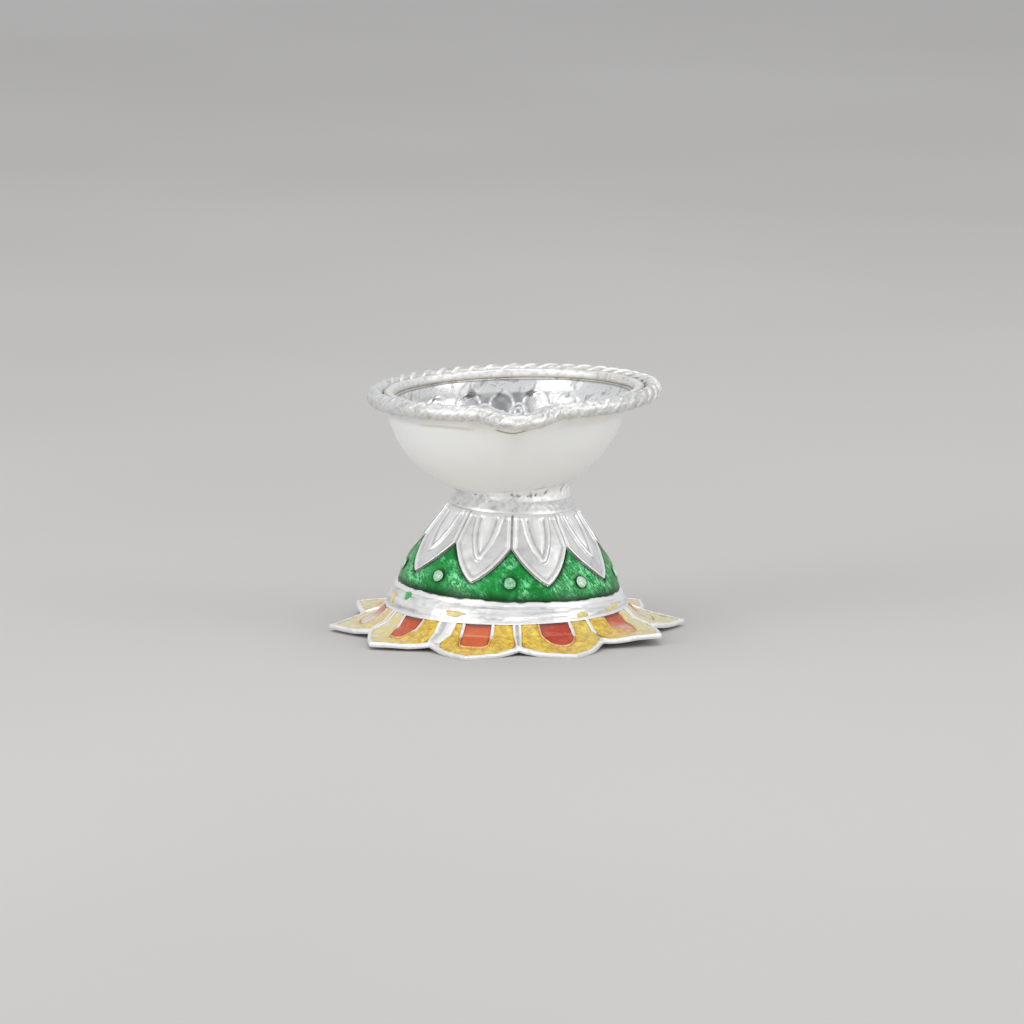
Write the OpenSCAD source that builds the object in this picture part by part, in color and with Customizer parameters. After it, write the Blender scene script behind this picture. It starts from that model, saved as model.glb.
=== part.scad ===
// Diya: a small silver oil lamp with a beaked bowl, a stamped stand and an enamelled petal foot.
// The origin is on the table, on the axis of the foot. The beak of the bowl points along -Y.
// Angles round the lamp start at the beak and grow towards +X.

/* [Foot] */
// Number of petals of the foot
foot_petals = 10; // [8:1:12]
// Distance from the axis to a petal's tip
foot_tip_r = 25; // [22.8:0.1:26]
// Distance from the axis to the notch between two petals
foot_notch_r = 20.7; // [20.2:0.1:21.2]
// Radius of the hole in the middle of the foot
foot_hole_r = 15.2; // [14:0.1:15.6]
// Thickness of the sheet with its raised border
foot_sheet = 0.65; // [0.6:0.05:0.8]
// Depth of the enamel cells
cell_depth = 0.3; // [0.25:0.01:0.35]
// Width of the raised border along the edge of a petal
border_w = 0.7; // [0.5:0.05:1]
// Width of the raised rib between two petals
rib_w = 1.4; // [1:0.1:1.8]
// Width of a red cell
red_w = 4; // [3:0.1:4.4]
// Width of the wall between the red and the yellow enamel
cell_wall = 0.35; // [0.3:0.05:0.5]
// Turn of the whole foot against the beak, in degrees
foot_turn = 2; // [-5:0.5:5]

/* [Stand] */
// Number of raised petals on the stand
stand_petals = 9; // [6:1:10]
// Angle of the first raised petal from the beak
stand_turn = 17.5; // [0:0.5:45]
// Height of the seam between the foot and the stand
seam_z = 3.6; // [3.5:0.05:3.8]
// Height of the lower edge of the green enamel
green_foot_z = 6.5; // [6.2:0.1:6.8]
// Height of the tips of the raised petals
petal_tip_z = 8.7; // [8.4:0.1:9.4]
// Height of the green points between the raised petals
petal_cusp_z = 13.4; // [12.8:0.1:14.2]
// Height of the upper ends of the raised petals
petal_top_z = 17.5; // [17.2:0.1:18]
// Height of the petals and of the enamel over the ground between them
relief = 0.35; // [0.3:0.05:0.4]
// Thickness of the stamped sheet
stand_sheet = 0.5; // [0.4:0.05:0.7]
// Radius of a dot on the green enamel
dot_r = 0.8; // [0.5:0.05:0.85]
// Height of a dot over the green enamel
dot_h = 0.35; // [0.2:0.05:0.5]

/* [Bowl] */
// Radius of the bowl at the lip
bowl_r = 16.9; // [16.6:0.1:17]
// Depth of the bowl outside, from the lip's level down
bowl_depth = 14.8; // [14.6:0.1:15]
// Level of the bowl's widest place
bowl_top_z = 33.6; // [33.4:0.1:33.8]
// Thickness of the bowl's wall
bowl_wall = 0.55; // [0.4:0.05:0.7]
// How far the beak stands out from the round of the lip
beak_reach = 3.2; // [2:0.1:3.3]
// Half the angle that the beak takes up at the lip
beak_half = 16; // [14:1:22]
// How far the tip of the beak dips
beak_dip = 0.8; // [0:0.1:1]

/* [Rim] */
// Width of the flat band inside the rope
band_w = 1.25; // [1:0.05:1.3]
// Height of the flat band
band_h = 1.1; // [0.8:0.05:1.3]
// Number of strands twisted into the rope: always named a, b and c
rope_strands = 3; // [3:1:3]
// Radius of one strand of the rope
strand_r = 0.55; // [0.45:0.01:0.56]
// Length of one full turn of the rope
rope_pitch = 7.8; // [6:0.1:10]

/* [Handmade lean] */
// How far the stand's pattern spreads away from the beak at its lower edge, in degrees
pattern_spread = 3.2; // [0:0.1:4]
// Lean of the stand towards +X, in degrees
stand_lean = 2.5; // [0:0.1:3]
// Rise of the bowl's rim towards +X, in degrees
rim_lean = 1.4; // [0:0.1:2]
// Offset of the bowl's underside from the foot's axis
bowl_offset = -0.3; // [-0.5:0.1:0.5]
// Offset of the rim from the foot's axis
rim_offset = 1; // [0:0.1:1.2]

/* [Hidden] */

// Clearance left between pieces that are soldered or fused together
gap = 0.05;

// Uneven bend of the foot's petals: how far each tip stands off the table, the first beside the beak
tip_lifts = [0, 1, 0.35, 0.65, 0, 0, 1.05, 0.35, 0.4, 0];
// The upper face of the foot's border and ribs, as height over radius
foot_profile = [[15, 3.85], [16.9, 3.8], [18.3, 2.35], [20.7, 1.05], [22.1, foot_sheet], [26, foot_sheet]];
seam_r = 16.95;
crease_r = 18.3;
flat_r = 22.1;
foot_step = 360 / foot_petals;

// The outside of the stand, as radius over height
stand_profile = [
    [seam_z, seam_r], [4.8, 16.7], [5.6, 16.2], [6.5, 15.65], [8.4, 15.0], [9.6, 14.4],
    [11.85, 13.0], [14.1, 11.55], [16.4, 9.9], [18.7, 8.35], [20.4, 7.25], [22, 7.25]];
stand_step = 360 / stand_petals;
collar_r = lookup(20.4, stand_profile);
// Level of the lower edge of the solder round the collar
solder_foot_z = 19.3;
// Places of the sheet's columns across half a raised petal, from its middle line to its edge
petal_columns = [0, 0.25, 0.5, 0.72, 0.9];

bowl_columns = 96;
lip_z = 33;
// Level below which the bowl is round
beak_foot_z = 24;
band_z = lip_z + 0.1;
band_inner_r = bowl_r;
// Distance of a strand's middle from the rope's middle, with the strands just clear of each other
strand_offset = 2 / sqrt(3) * strand_r + 0.04;
rope_r = strand_offset + strand_r;
rope_offset = band_w + rope_r + gap;
rope_z = 33.45;
rope_rings = 136;
strand_sides = 6;

silver = [0.88, 0.89, 0.87];
green = [0.09, 0.5, 0.2];
red = [0.78, 0.22, 0.12];
yellow = [0.88, 0.66, 0.15];

function mix(a, b, t) = a + (b - a) * t;
function clamp01(t) = min(1, max(0, t));
function smooth(t) = let (c = clamp01(t)) c * c * (3 - 2 * c);
function polar(r, a, z) = [r * sin(a), -r * cos(a), z];
function wrapped(a) = a - 360 * round(a / 360);

// ---- closed skins over rings of points ----

// Two triangles between each pair of columns of rows a and b, with n points in a row
function strip_faces(a, b, n) = [
    for (i = [0:n - 1]) let (j = (i + 1) % n)
        each [[a * n + i, b * n + j, a * n + j], [a * n + i, b * n + i, b * n + j]]];

// A ring-shaped solid: each row is a closed ring of points round the lamp, the last row meets the first
module hoop(rows) {
    n = len(rows[0]);
    m = len(rows);
    polyhedron([for (row = rows) each row], [for (k = [0:m - 1]) each strip_faces(k, (k + 1) % m, n)]);
}

// A solid with a point at each end: rows of points between a first and a last point
module capped(rows, first, last) {
    n = len(rows[0]);
    m = len(rows);
    faces = concat(
        [for (k = [0:m - 2]) each strip_faces(k, k + 1, n)],
        [for (i = [0:n - 1]) [m * n, i, (i + 1) % n]],
        [for (i = [0:n - 1]) [m * n + 1, (m - 1) * n + (i + 1) % n, (m - 1) * n + i]]);
    polyhedron(concat([for (row = rows) each row], [first, last]), faces);
}

function reversed(rows) = [for (i = [len(rows) - 1:-1:0]) rows[i]];

// ---- handmade lean ----

// The stand leans as one, from the green enamel up. Its lower edge stays level on the foot.
function lean_stand(p) =
    let (share = smooth((p.z - seam_z) / (green_foot_z - seam_z)) * tan(stand_lean))
    [p.x + p.z * share, p.y, p.z - p.x * share];

// The bowl sits off the middle of the stand, and its rim is further over and rises to one side.
function lean_bowl(p) =
    let (low = bowl_offset * (1 - smooth((p.z - 24) / 5)),
         high = rim_offset * smooth((p.z - 30.2) / 2.2),
         share = smooth((p.z - 22) / 8) * tan(rim_lean))
    [p.x + low + high, p.y, p.z + p.x * share];

// ---- bowl and rim ----

// Share of the beak at an angle: 1 at its tip and 0 where the lip is round
function beak(a) =
    let (tip = 0.12, s = sqrt(pow(wrapped(a) / beak_half, 2) + tip * tip) - tip)
    pow(clamp01(1 - s / (sqrt(1 + tip * tip) - tip)), 1.7);

// Columns stand closer together round the beak
function bowl_angle(i, n) = let (u = 360 * i / n) u - 20 * sin(u) - 3 * sin(2 * u);

function bowl_point(a, t, wall) =
    let (z = bowl_top_z - (bowl_depth - wall) * cos(t),
         up = clamp01((z - beak_foot_z) / (lip_z - beak_foot_z)),
         share = beak(a) * pow(up, 3))
    polar((bowl_r - wall) * sin(t) + beak_reach * share, a, z - beak_dip * share);

function bowl_ring(t, wall) = [
    for (i = [0:bowl_columns - 1]) lean_bowl(bowl_point(bowl_angle(i, bowl_columns), t, wall))];

function lip_ring(r, z) = [
    for (i = [0:bowl_columns - 1]) let (a = bowl_angle(i, bowl_columns))
        lean_bowl(polar(r + beak_reach * beak(a), a, z - beak_dip * beak(a)))];

module bowl() {
    outer = [for (t = [10, 20, 31, 42, 53, 64, 74, 82]) bowl_ring(t, 0)];
    lip = [
        lip_ring(bowl_r + 0.1, lip_z - 0.6),
        lip_ring(bowl_r + 0.45, lip_z - 0.15),
        lip_ring(bowl_r + 0.35, lip_z),
        lip_ring(bowl_r - 0.25, lip_z),
        lip_ring(bowl_r - bowl_wall + 0.1, lip_z - 0.4)];
    inner = [for (t = [80, 70, 58, 45, 32, 18]) bowl_ring(t, bowl_wall)];
    color(silver)
        capped(concat(outer, lip, inner),
            lean_bowl([0, 0, bowl_top_z - bowl_depth]),
            lean_bowl([0, 0, bowl_top_z - bowl_depth + bowl_wall]));
}

// Level of the bowl's underside over a point near its middle
function bowl_under(x, y) =
    bowl_top_z - bowl_depth * sqrt(1 - (pow(x - bowl_offset, 2) + y * y) / (bowl_r * bowl_r));

// The inner edge of the rim seen from above, and the same edge moved outwards by d
function rim_edge(a) = polar(band_inner_r + beak_reach * beak(a), a, 0);
function rim_out(a) = let (s = rim_edge(a + 0.5) - rim_edge(a - 0.5)) [s.y, -s.x, 0] / norm(s);
function rim_point(a, d, z) = rim_edge(a) + rim_out(a) * d + [0, 0, z - beak_dip * beak(a)];

function rim_ring(d, z) = [
    for (i = [0:bowl_columns - 1]) lean_bowl(rim_point(bowl_angle(i, bowl_columns), d, z))];

module rim_band() {
    section = [
        [0, 0], [band_w, 0], [band_w, band_h - 0.1], [band_w - 0.2, band_h],
        [0.2, band_h - 0.05], [0, band_h - 0.25]];
    color(silver) hoop([for (p = section) rim_ring(p.x, band_z + p.y)]);
}

// The rope's middle line at equal angles, and how far along the rope each place lies
rope_path = [for (i = [0:rope_rings]) rim_point(bowl_angle(i, rope_rings), rope_offset, rope_z)];
rope_run = [
    for (i = 0, s = 0; i <= rope_rings; s = i < rope_rings ? s + norm(rope_path[i + 1] - rope_path[i]) : s,
         i = i + 1) s];
rope_turns = round(rope_run[rope_rings] / rope_pitch);

module rope_strand(phase) {
    rings = [
        for (i = [0:rope_rings - 1])
            let (out = rim_out(bowl_angle(i, rope_rings)),
                 turn = phase + 360 * rope_turns * rope_run[i] / rope_run[rope_rings],
                 core = rope_path[i] + strand_offset * (cos(turn) * out + [0, 0, sin(turn)]))
            [for (k = [0:strand_sides - 1]) let (b = turn - 360 * k / strand_sides)
                lean_bowl(core + strand_r * (cos(b) * out + [0, 0, sin(b)]))]];
    color(silver) hoop(rings);
}

// ---- stand ----

function stand_r(z) = lookup(z, stand_profile);

// Lower edge of the raised petals at a place across a petal: 0 at its middle line, 1 at its side
function zigzag(w) = mix(petal_tip_z, petal_cusp_z, pow(w, 1.25));

// A point of the stand's surface, less a depth. The pattern spreads a little from its cusps down.
function stand_point(z, a, depth) =
    let (low = clamp01((petal_cusp_z - z) / (petal_cusp_z - petal_tip_z)))
    lean_stand(polar(stand_r(z) - depth, a + pattern_spread * low * sin(a), z));

// Every column round the stand, as [angle, place across the petal]
stand_columns = [
    for (k = [0:stand_petals - 1])
        let (mid = stand_turn + k * stand_step, half = stand_step / 2)
        each concat(
            [[mid - half, 1]],
            [for (i = [len(petal_columns) - 1:-1:1]) [mid - half * petal_columns[i], petal_columns[i]]],
            [for (w = petal_columns) [mid + half * w, w]])];

function stand_ring(z, depth) = [
    for (c = stand_columns) stand_point(z, c[0], depth)];

// A ring across the petals, a share of the way down from their upper ends to the zigzag edge
function petal_ring(share) = [
    for (c = stand_columns)
        stand_point(mix(petal_top_z, zigzag(c[1]), share), c[0], c[1] == 1 ? relief : 0)];

// A ring across the green ground, a share of the way down from the zigzag edge
function ground_ring(share, depth, inset) = [
    for (c = stand_columns)
        stand_point(mix(zigzag(c[1]) - inset, green_foot_z + inset, share), c[0], depth)];

// The collar's upper edge is fitted to the underside of the bowl
function collar_ring(r) = [
    for (c = stand_columns) let (p = lean_stand(polar(r, c[0], 20.4)))
        [p.x, p.y, bowl_under(p.x, p.y) - gap]];

module pedestal() {
    wall = relief + stand_sheet;
    outer = concat(
        [collar_ring(collar_r)],
        [for (s = [[solder_foot_z, 0], [petal_top_z + 0.9, 0], [petal_top_z + 0.15, 0.1]])
            stand_ring(s[0], s[1])],
        [for (share = [0, 0.35, 0.7, 1]) petal_ring(share)],
        [for (share = [0, 0.35, 0.7, 1]) ground_ring(share, relief, gap)]);
    band = [for (z = [green_foot_z - 0.02, 5.6, 4.8, seam_z]) stand_ring(z, 0)];
    inner = concat(
        [for (z = [seam_z, 4.8, 6.4, 8.4, 11, 14.1, 17]) stand_ring(z, wall)],
        [collar_ring(collar_r - stand_sheet)]);
    color(silver) hoop(reversed(concat(outer, band, inner)));
}

module green_enamel() {
    outer = [
        for (s = [[0, 0.2], [0.05, 0.06], [0.35, -0.03], [0.7, -0.05], [0.96, 0], [1, 0.15]])
            ground_ring(s[0], s[1], 3 * gap)];
    inner = [for (share = [1, 0.7, 0.35, 0]) ground_ring(share, relief - gap, 3 * gap)];
    color(green) hoop(reversed(concat(outer, inner)));
}

module dot(i) {
    outline = [[0, 0], [dot_r, 0], [0.85 * dot_r, 0.6 * dot_h], [0.45 * dot_r, dot_h], [0, dot_h]];
    z = petal_tip_z + 0.3;
    a = stand_turn + (i - 0.5) * stand_step;
    turn = a + pattern_spread * sin(a);
    tilt = atan((stand_r(z - 1) - stand_r(z + 1)) / 2);
    color(silver)
        translate(lean_stand(polar(stand_r(z) + 2 * gap, turn, z)))
            rotate([0, 90 - tilt, turn - 90])
                rotate_extrude($fn = 24)
                    polygon(outline);
}

// An uneven ring of solder in the corner between the collar and the bowl
function lump(a) = 0.06 * sin(5 * a) + 0.05 * sin(9 * a + 40) + 0.03 * sin(17 * a);

// A ring of the solder: how far it stands off the collar, and its share of the way up to the bowl
function solder_ring(off, share) = [
    for (c = stand_columns)
        let (p = lean_stand(polar(collar_r + off, c[0], 20.4)),
             low = lean_stand(polar(collar_r, c[0], solder_foot_z)).z)
        [p.x, p.y, mix(low, bowl_under(p.x, p.y) - gap, share)]];

module neck_solder() {
    foot = [for (c = stand_columns) lean_stand(polar(stand_r(solder_foot_z) + 2 * gap, c[0], solder_foot_z))];
    bulge = [for (i = [0:len(stand_columns) - 1]) let (off = 0.55 + lump(stand_columns[i][0]))
        solder_ring(off, 0.6)[i]];
    color(silver) hoop([foot, bulge, solder_ring(0.45, 1), solder_ring(gap, 1)]);
}

// ---- foot ----

function tip_lift(k) = tip_lifts[((k % foot_petals) + foot_petals) % foot_petals];

// The bend of the petals at an angle: each petal is straight over its middle and shares its notches
function bend(a) =
    let (u = a / foot_step, k = floor(u), d = 2 * (u - k) - 1, side = d < 0 ? -1 : 1,
         share = smooth((abs(d) - 0.3) / 0.7) / 2)
    mix(tip_lift(k), tip_lift(k + side), share);

function foot_top(r, a) = lookup(r, foot_profile) + bend(a) * clamp01((r - crease_r) / (flat_r - crease_r));

// Outline of a petal: a line from tip to notch, bowed a little outwards
function foot_edge(a) =
    let (half = foot_step / 2, d = abs(a - foot_step * (floor(a / foot_step) + 0.5)))
    foot_tip_r * foot_notch_r * sin(half) / (foot_tip_r * sin(d) + foot_notch_r * sin(half - d))
    + 0.35 * sin(180 * d / half);

function rib_edge(r, w) = foot_step / 2 - asin(w / r);

// Columns across half a petal at a radius, as [angle from its middle line, raised or not]
function half_petal(r) = [
    [0, 0], [rib_edge(r, 4.2), 0], [rib_edge(r, 2), 0],
    [rib_edge(r, rib_w / 2 + 0.08), 0], [rib_edge(r, rib_w / 2), 1]];

function foot_columns(r) = [
    for (k = [0:foot_petals - 1])
        let (mid = (k + 0.5) * foot_step, half = half_petal(r))
        each concat(
            [[k * foot_step, 1]],
            [for (i = [len(half) - 1:-1:1]) [mid - half[i][0], half[i][1]]],
            [for (c = half) [mid + c[0], c[1]]])];

// A ring round the foot. reach is the radius up to the crease, then a share of the way to the edge.
function foot_ring(radius, share, inset, depth, ribs) = [
    for (c = foot_columns(share > 0 ? 20 : max(radius, seam_r)))
        let (r = share > 0 ? mix(crease_r, foot_edge(c[0]) - inset, share) : radius)
        polar(r, c[0], foot_top(r, c[0]) - (ribs && c[1] == 1 ? 0 : depth))];

module flange() {
    top = [
        foot_ring(foot_hole_r, 0, 0, cell_depth, false),
        foot_ring(seam_r - 0.1, 0, 0, cell_depth, false),
        foot_ring(seam_r + 0.1, 0, 0, cell_depth, true),
        foot_ring(crease_r, 0, 0, cell_depth, true),
        foot_ring(0, 0.4, border_w, cell_depth, true),
        foot_ring(0, 0.75, border_w, cell_depth, true),
        foot_ring(0, 1, border_w + 0.08, cell_depth, true),
        foot_ring(0, 1, border_w, 0, true),
        foot_ring(0, 1, 0, 0, true)];
    under = [
        foot_ring(0, 1, 0, foot_sheet, false),
        foot_ring(0, 0.76, 0, foot_sheet, false),
        foot_ring(0, 0.4, 0, foot_sheet, false),
        foot_ring(crease_r, 0, 0, foot_sheet, false),
        foot_ring(seam_r, 0, 0, foot_sheet, false),
        foot_ring(foot_hole_r, 0, 0, foot_sheet, false)];
    color(silver) rotate([0, 0, foot_turn]) hoop(reversed(concat(top, under)));
}

// A hidden fillet of solder inside the seam between the stand and the foot
module foot_solder() {
    color(silver)
        rotate_extrude($fn = 96)
            polygon([[15.3, 3.75], [15.95, 3.6], [15.9, 4.2]]);
}

// Enamel section between an inner and an outer point: three points across, above and below
function enamel_ring(inner, outer) =
    let (floor_gap = cell_depth / 2)
    [for (s = [[0, 0.04], [0.5, -0.02], [1, 0.04], [1, floor_gap], [0.5, floor_gap], [0, floor_gap]])
        let (p = mix(inner, outer, s[0]), r = norm(p), a = atan2(p.x, -p.y))
        [p.x, p.y, foot_top(r, a) - s[1]]];

function enamel_middle(section) = (section[1] + section[4]) / 2;

module enamel_fill(sections) {
    capped(sections, enamel_middle(sections[0]), enamel_middle(sections[len(sections) - 1]));
}

// A point of petal k, given by its radius and its distance from the petal's middle line
function in_petal(k, r, side) =
    let (p = polar(r, (k - 0.5) * foot_step + asin(side / r), 0)) [p.x, p.y];

// The rounded outline of a red cell: half its width at each radius
red_rows = [[seam_r + 0.2, 0.94], [crease_r, 1], [19, 0.96], [19.5, 0.8], [19.85, 0.5]];

module red_enamel(k) {
    half = red_w / 2;
    rows = [for (row = reversed(red_rows)) let (side = row[1] * half)
        enamel_ring(in_petal(k, row[0], -side), in_petal(k, row[0], side))];
    color(red) rotate([0, 0, foot_turn]) enamel_fill(rows);
}

// The yellow enamel is a U round the red cell, out to the ribs and the border
module yellow_enamel(k) {
    mid = (k - 0.5) * foot_step;
    wall = cell_wall + red_w / 2;
    function rib_side(r) = r * sin(rib_edge(r, rib_w / 2 + 0.2));
    function edge_point(a) = let (p = polar(foot_edge(mid + a) - border_w - 0.2, mid + a, 0)) [p.x, p.y];
    side = [for (r = [seam_r + 0.2, crease_r, 19]) [r, wall * (r < crease_r ? 0.96 : 1), rib_side(r)]];
    edge_angle = rib_edge(19.9, rib_w / 2 + 0.2);
    turn = [[-70, -1], [-45, -0.8], [-25, -0.45], [0, 0], [25, 0.45], [45, 0.8], [70, 1]];
    sections = concat(
        [for (s = side) enamel_ring(in_petal(k, s[0], -s[1]), in_petal(k, s[0], -s[2]))],
        [for (t = turn) enamel_ring(
            in_petal(k, 19 + 1.3 * cos(t[0]), wall * sin(t[0])), edge_point(t[1] * edge_angle))],
        [for (s = reversed(side)) enamel_ring(in_petal(k, s[0], s[1]), in_petal(k, s[0], s[2]))]);
    color(yellow) rotate([0, 0, foot_turn]) enamel_fill(sections);
}

bowl();
rim_band();
for (i = [0:rope_strands - 1])
    rope_strand(360 * i / rope_strands);
neck_solder();
pedestal();
green_enamel();
flange();
foot_solder();
for (i = [1:stand_petals])
    dot(i);
for (i = [1:foot_petals])
    red_enamel(i);
for (i = [1:foot_petals])
    yellow_enamel(i);
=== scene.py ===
"""Looks of the silver diya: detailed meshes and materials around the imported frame.

Lengths are in millimetres up to the moment a mesh is made. Angles round the lamp are in degrees, start at the
beak of the bowl (-Y) and grow towards +X. The driving values repeat those of the CAD source.
"""
import math
from itertools import product

import bmesh
import bpy
import numpy as np
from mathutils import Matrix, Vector


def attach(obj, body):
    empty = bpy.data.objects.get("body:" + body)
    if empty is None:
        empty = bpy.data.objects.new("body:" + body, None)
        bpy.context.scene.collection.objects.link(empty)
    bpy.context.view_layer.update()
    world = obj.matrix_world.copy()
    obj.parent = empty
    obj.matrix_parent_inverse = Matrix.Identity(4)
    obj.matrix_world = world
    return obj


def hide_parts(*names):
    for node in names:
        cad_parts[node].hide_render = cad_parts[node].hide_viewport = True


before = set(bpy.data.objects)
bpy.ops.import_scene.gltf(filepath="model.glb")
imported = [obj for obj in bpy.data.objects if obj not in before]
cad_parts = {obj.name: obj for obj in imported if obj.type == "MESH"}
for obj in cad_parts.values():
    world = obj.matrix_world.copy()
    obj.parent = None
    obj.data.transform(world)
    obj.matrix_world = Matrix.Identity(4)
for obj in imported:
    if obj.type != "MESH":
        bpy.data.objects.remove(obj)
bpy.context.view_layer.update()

MM = 0.001

# ---- driving values, as in the CAD ----
FOOT_PETALS = 10
FOOT_STEP = 36.0
FOOT_TIP_R, FOOT_NOTCH_R, FOOT_HOLE_R = 25.0, 20.7, 15.2
FOOT_SHEET, CELL_DEPTH, BORDER_W, RED_W, CELL_WALL = 0.65, 0.3, 0.7, 4.0, 0.35
SEAM_R, CREASE_R, FLAT_R, CREASE_LINE_R = 16.95, 18.3, 22.1, 18.42
FOOT_TURN = 2.0
TIP_LIFTS = np.array([0, 1, 0.35, 0.65, 0, 0, 1.05, 0.35, 0.4, 0])
FOOT_PROFILE = np.array([[15, 3.85], [16.9, 3.8], [18.3, 2.35], [20.7, 1.05], [22.1, 0.65], [26, 0.65]])

STAND_PETALS = 9
STAND_TURN, STAND_STEP, PATTERN_SPREAD = 17.5, 40.0, 3.2
SEAM_Z, GREEN_FOOT_Z, PETAL_TIP_Z, PETAL_CUSP_Z, PETAL_TOP_Z = 3.6, 6.5, 8.7, 13.4, 17.5
RELIEF, STAND_SHEET, COLLAR_R, SOLDER_FOOT_Z, COLLAR_TOP_Z = 0.35, 0.5, 7.25, 19.3, 20.4
DOT_R, DOT_H, DOT_Z = 0.8, 0.35, PETAL_TIP_Z + 0.3
STAND_PROFILE = np.array([
    [3.6, 16.95], [4.8, 16.7], [5.6, 16.2], [6.5, 15.65], [8.4, 15.0], [9.6, 14.4], [11.85, 13.0],
    [14.1, 11.55], [16.4, 9.9], [18.7, 8.35], [20.4, 7.25], [22, 7.25]])

BOWL_R, BOWL_DEPTH, BOWL_TOP_Z, BOWL_WALL = 16.9, 14.8, 33.6, 0.55
BEAK_REACH, BEAK_HALF, BEAK_DIP, LIP_Z, BEAK_FOOT_Z = 3.2, 16.0, 0.8, 33.0, 24.0
BAND_W, BAND_Z = 1.25, 33.1
STRAND_R, ROPE_PITCH, ROPE_Z = 0.55, 7.8, 33.45
GAP = 0.05
STRAND_OFFSET = 2 / math.sqrt(3) * STRAND_R + 0.04
ROPE_R = STRAND_OFFSET + STRAND_R
ROPE_OFFSET = BAND_W + ROPE_R + GAP

STAND_LEAN, RIM_LEAN = math.tan(math.radians(2.5)), math.tan(math.radians(1.4))
BOWL_OFFSET, RIM_OFFSET = -0.3, 1.0

# Columns in each half of a stand petal. Where a red cell's end lies, and how far past it each part goes.
STAND_COLUMNS = 42
CELL_END_R = 19.0
RED_REACH, WALL_REACH, YELLOW_REACH = 1.42, 1.50, 1.68
ENAMEL_BACK = CELL_DEPTH - 0.02


# ---- small maths ----

def mix(a, b, t):
    return a + (b - a) * t


def clamp01(t):
    return np.clip(t, 0.0, 1.0)


def smooth(t):
    c = clamp01(t)
    return c * c * (3 - 2 * c)


def bump01(x, width):
    """A round bump: 1 at x = 0, falling off over width."""
    return np.exp(-(x / width) ** 2)


def sin_d(a):
    return np.sin(np.radians(a))


def cos_d(a):
    return np.cos(np.radians(a))


def stack(x, y, z):
    return np.stack(np.broadcast_arrays(x, y, z), -1).astype(float)


def polar(r, a, z):
    return stack(r * sin_d(a), -r * cos_d(a), z)


def wrapped(a):
    return a - 360 * np.round(a / 360)


def curve(x, table):
    """A smooth line through the points of a table, a cubic between each pair."""
    xs, ys = table[:, 0], table[:, 1]
    slope = np.gradient(ys, xs)
    x = np.clip(x, xs[0], xs[-1])
    i = np.clip(np.searchsorted(xs, x) - 1, 0, len(xs) - 2)
    h = xs[i + 1] - xs[i]
    t = (x - xs[i]) / h
    return ((2 * t ** 3 - 3 * t ** 2 + 1) * ys[i] + (t ** 3 - 2 * t ** 2 + t) * h * slope[i]
            + (3 * t ** 2 - 2 * t ** 3) * ys[i + 1] + (t ** 3 - t ** 2) * h * slope[i + 1])


def lattice(ijk, seed):
    """A steady number from -1 to 1 for each whole point."""
    h = (ijk @ np.array([374761393, 668265263, 974634211]) + seed * 69069) & 0xFFFFFFFF
    h = ((h ^ (h >> 13)) * 1274126177) & 0xFFFFFFFF
    return ((h ^ (h >> 16)) & 0xFFFF) / 32767.5 - 1


def grain(p, size, seed=0):
    """Smooth noise from -1 to 1 at points p, with lumps about size across. Each seed has its own pattern."""
    q = np.asarray(p, float) / size
    base = np.floor(q)
    t = smooth(q - base)
    base = base.astype(np.int64)
    total = 0.0
    for corner in product((0, 1), repeat=3):
        weight = np.prod(np.where(np.array(corner), t, 1 - t), axis=-1)
        total = total + weight * lattice(base + np.array(corner), seed)
    return total


def specks(p, size, seed, gain=1.0):
    """The upper half of the noise, from 0 to 1."""
    return clamp01(gain * grain(p, size, seed))


# ---- closed meshes ----

def strip(m, n, wrap_rows):
    """Quads over m rows of n points, each row closed on itself."""
    r, c = np.meshgrid(np.arange(m if wrap_rows else m - 1), np.arange(n), indexing="ij")
    r2, c2 = (r + 1) % m, (c + 1) % n
    return np.stack([r * n + c, r * n + c2, r2 * n + c2, r2 * n + c], -1).reshape(-1, 4)


def weld_same_points(mesh):
    """Join points at one place, so that no face without area is left."""
    work = bmesh.new()
    work.from_mesh(mesh)
    bmesh.ops.remove_doubles(work, verts=work.verts, dist=1e-7)
    work.to_mesh(mesh)
    work.free()


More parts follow.
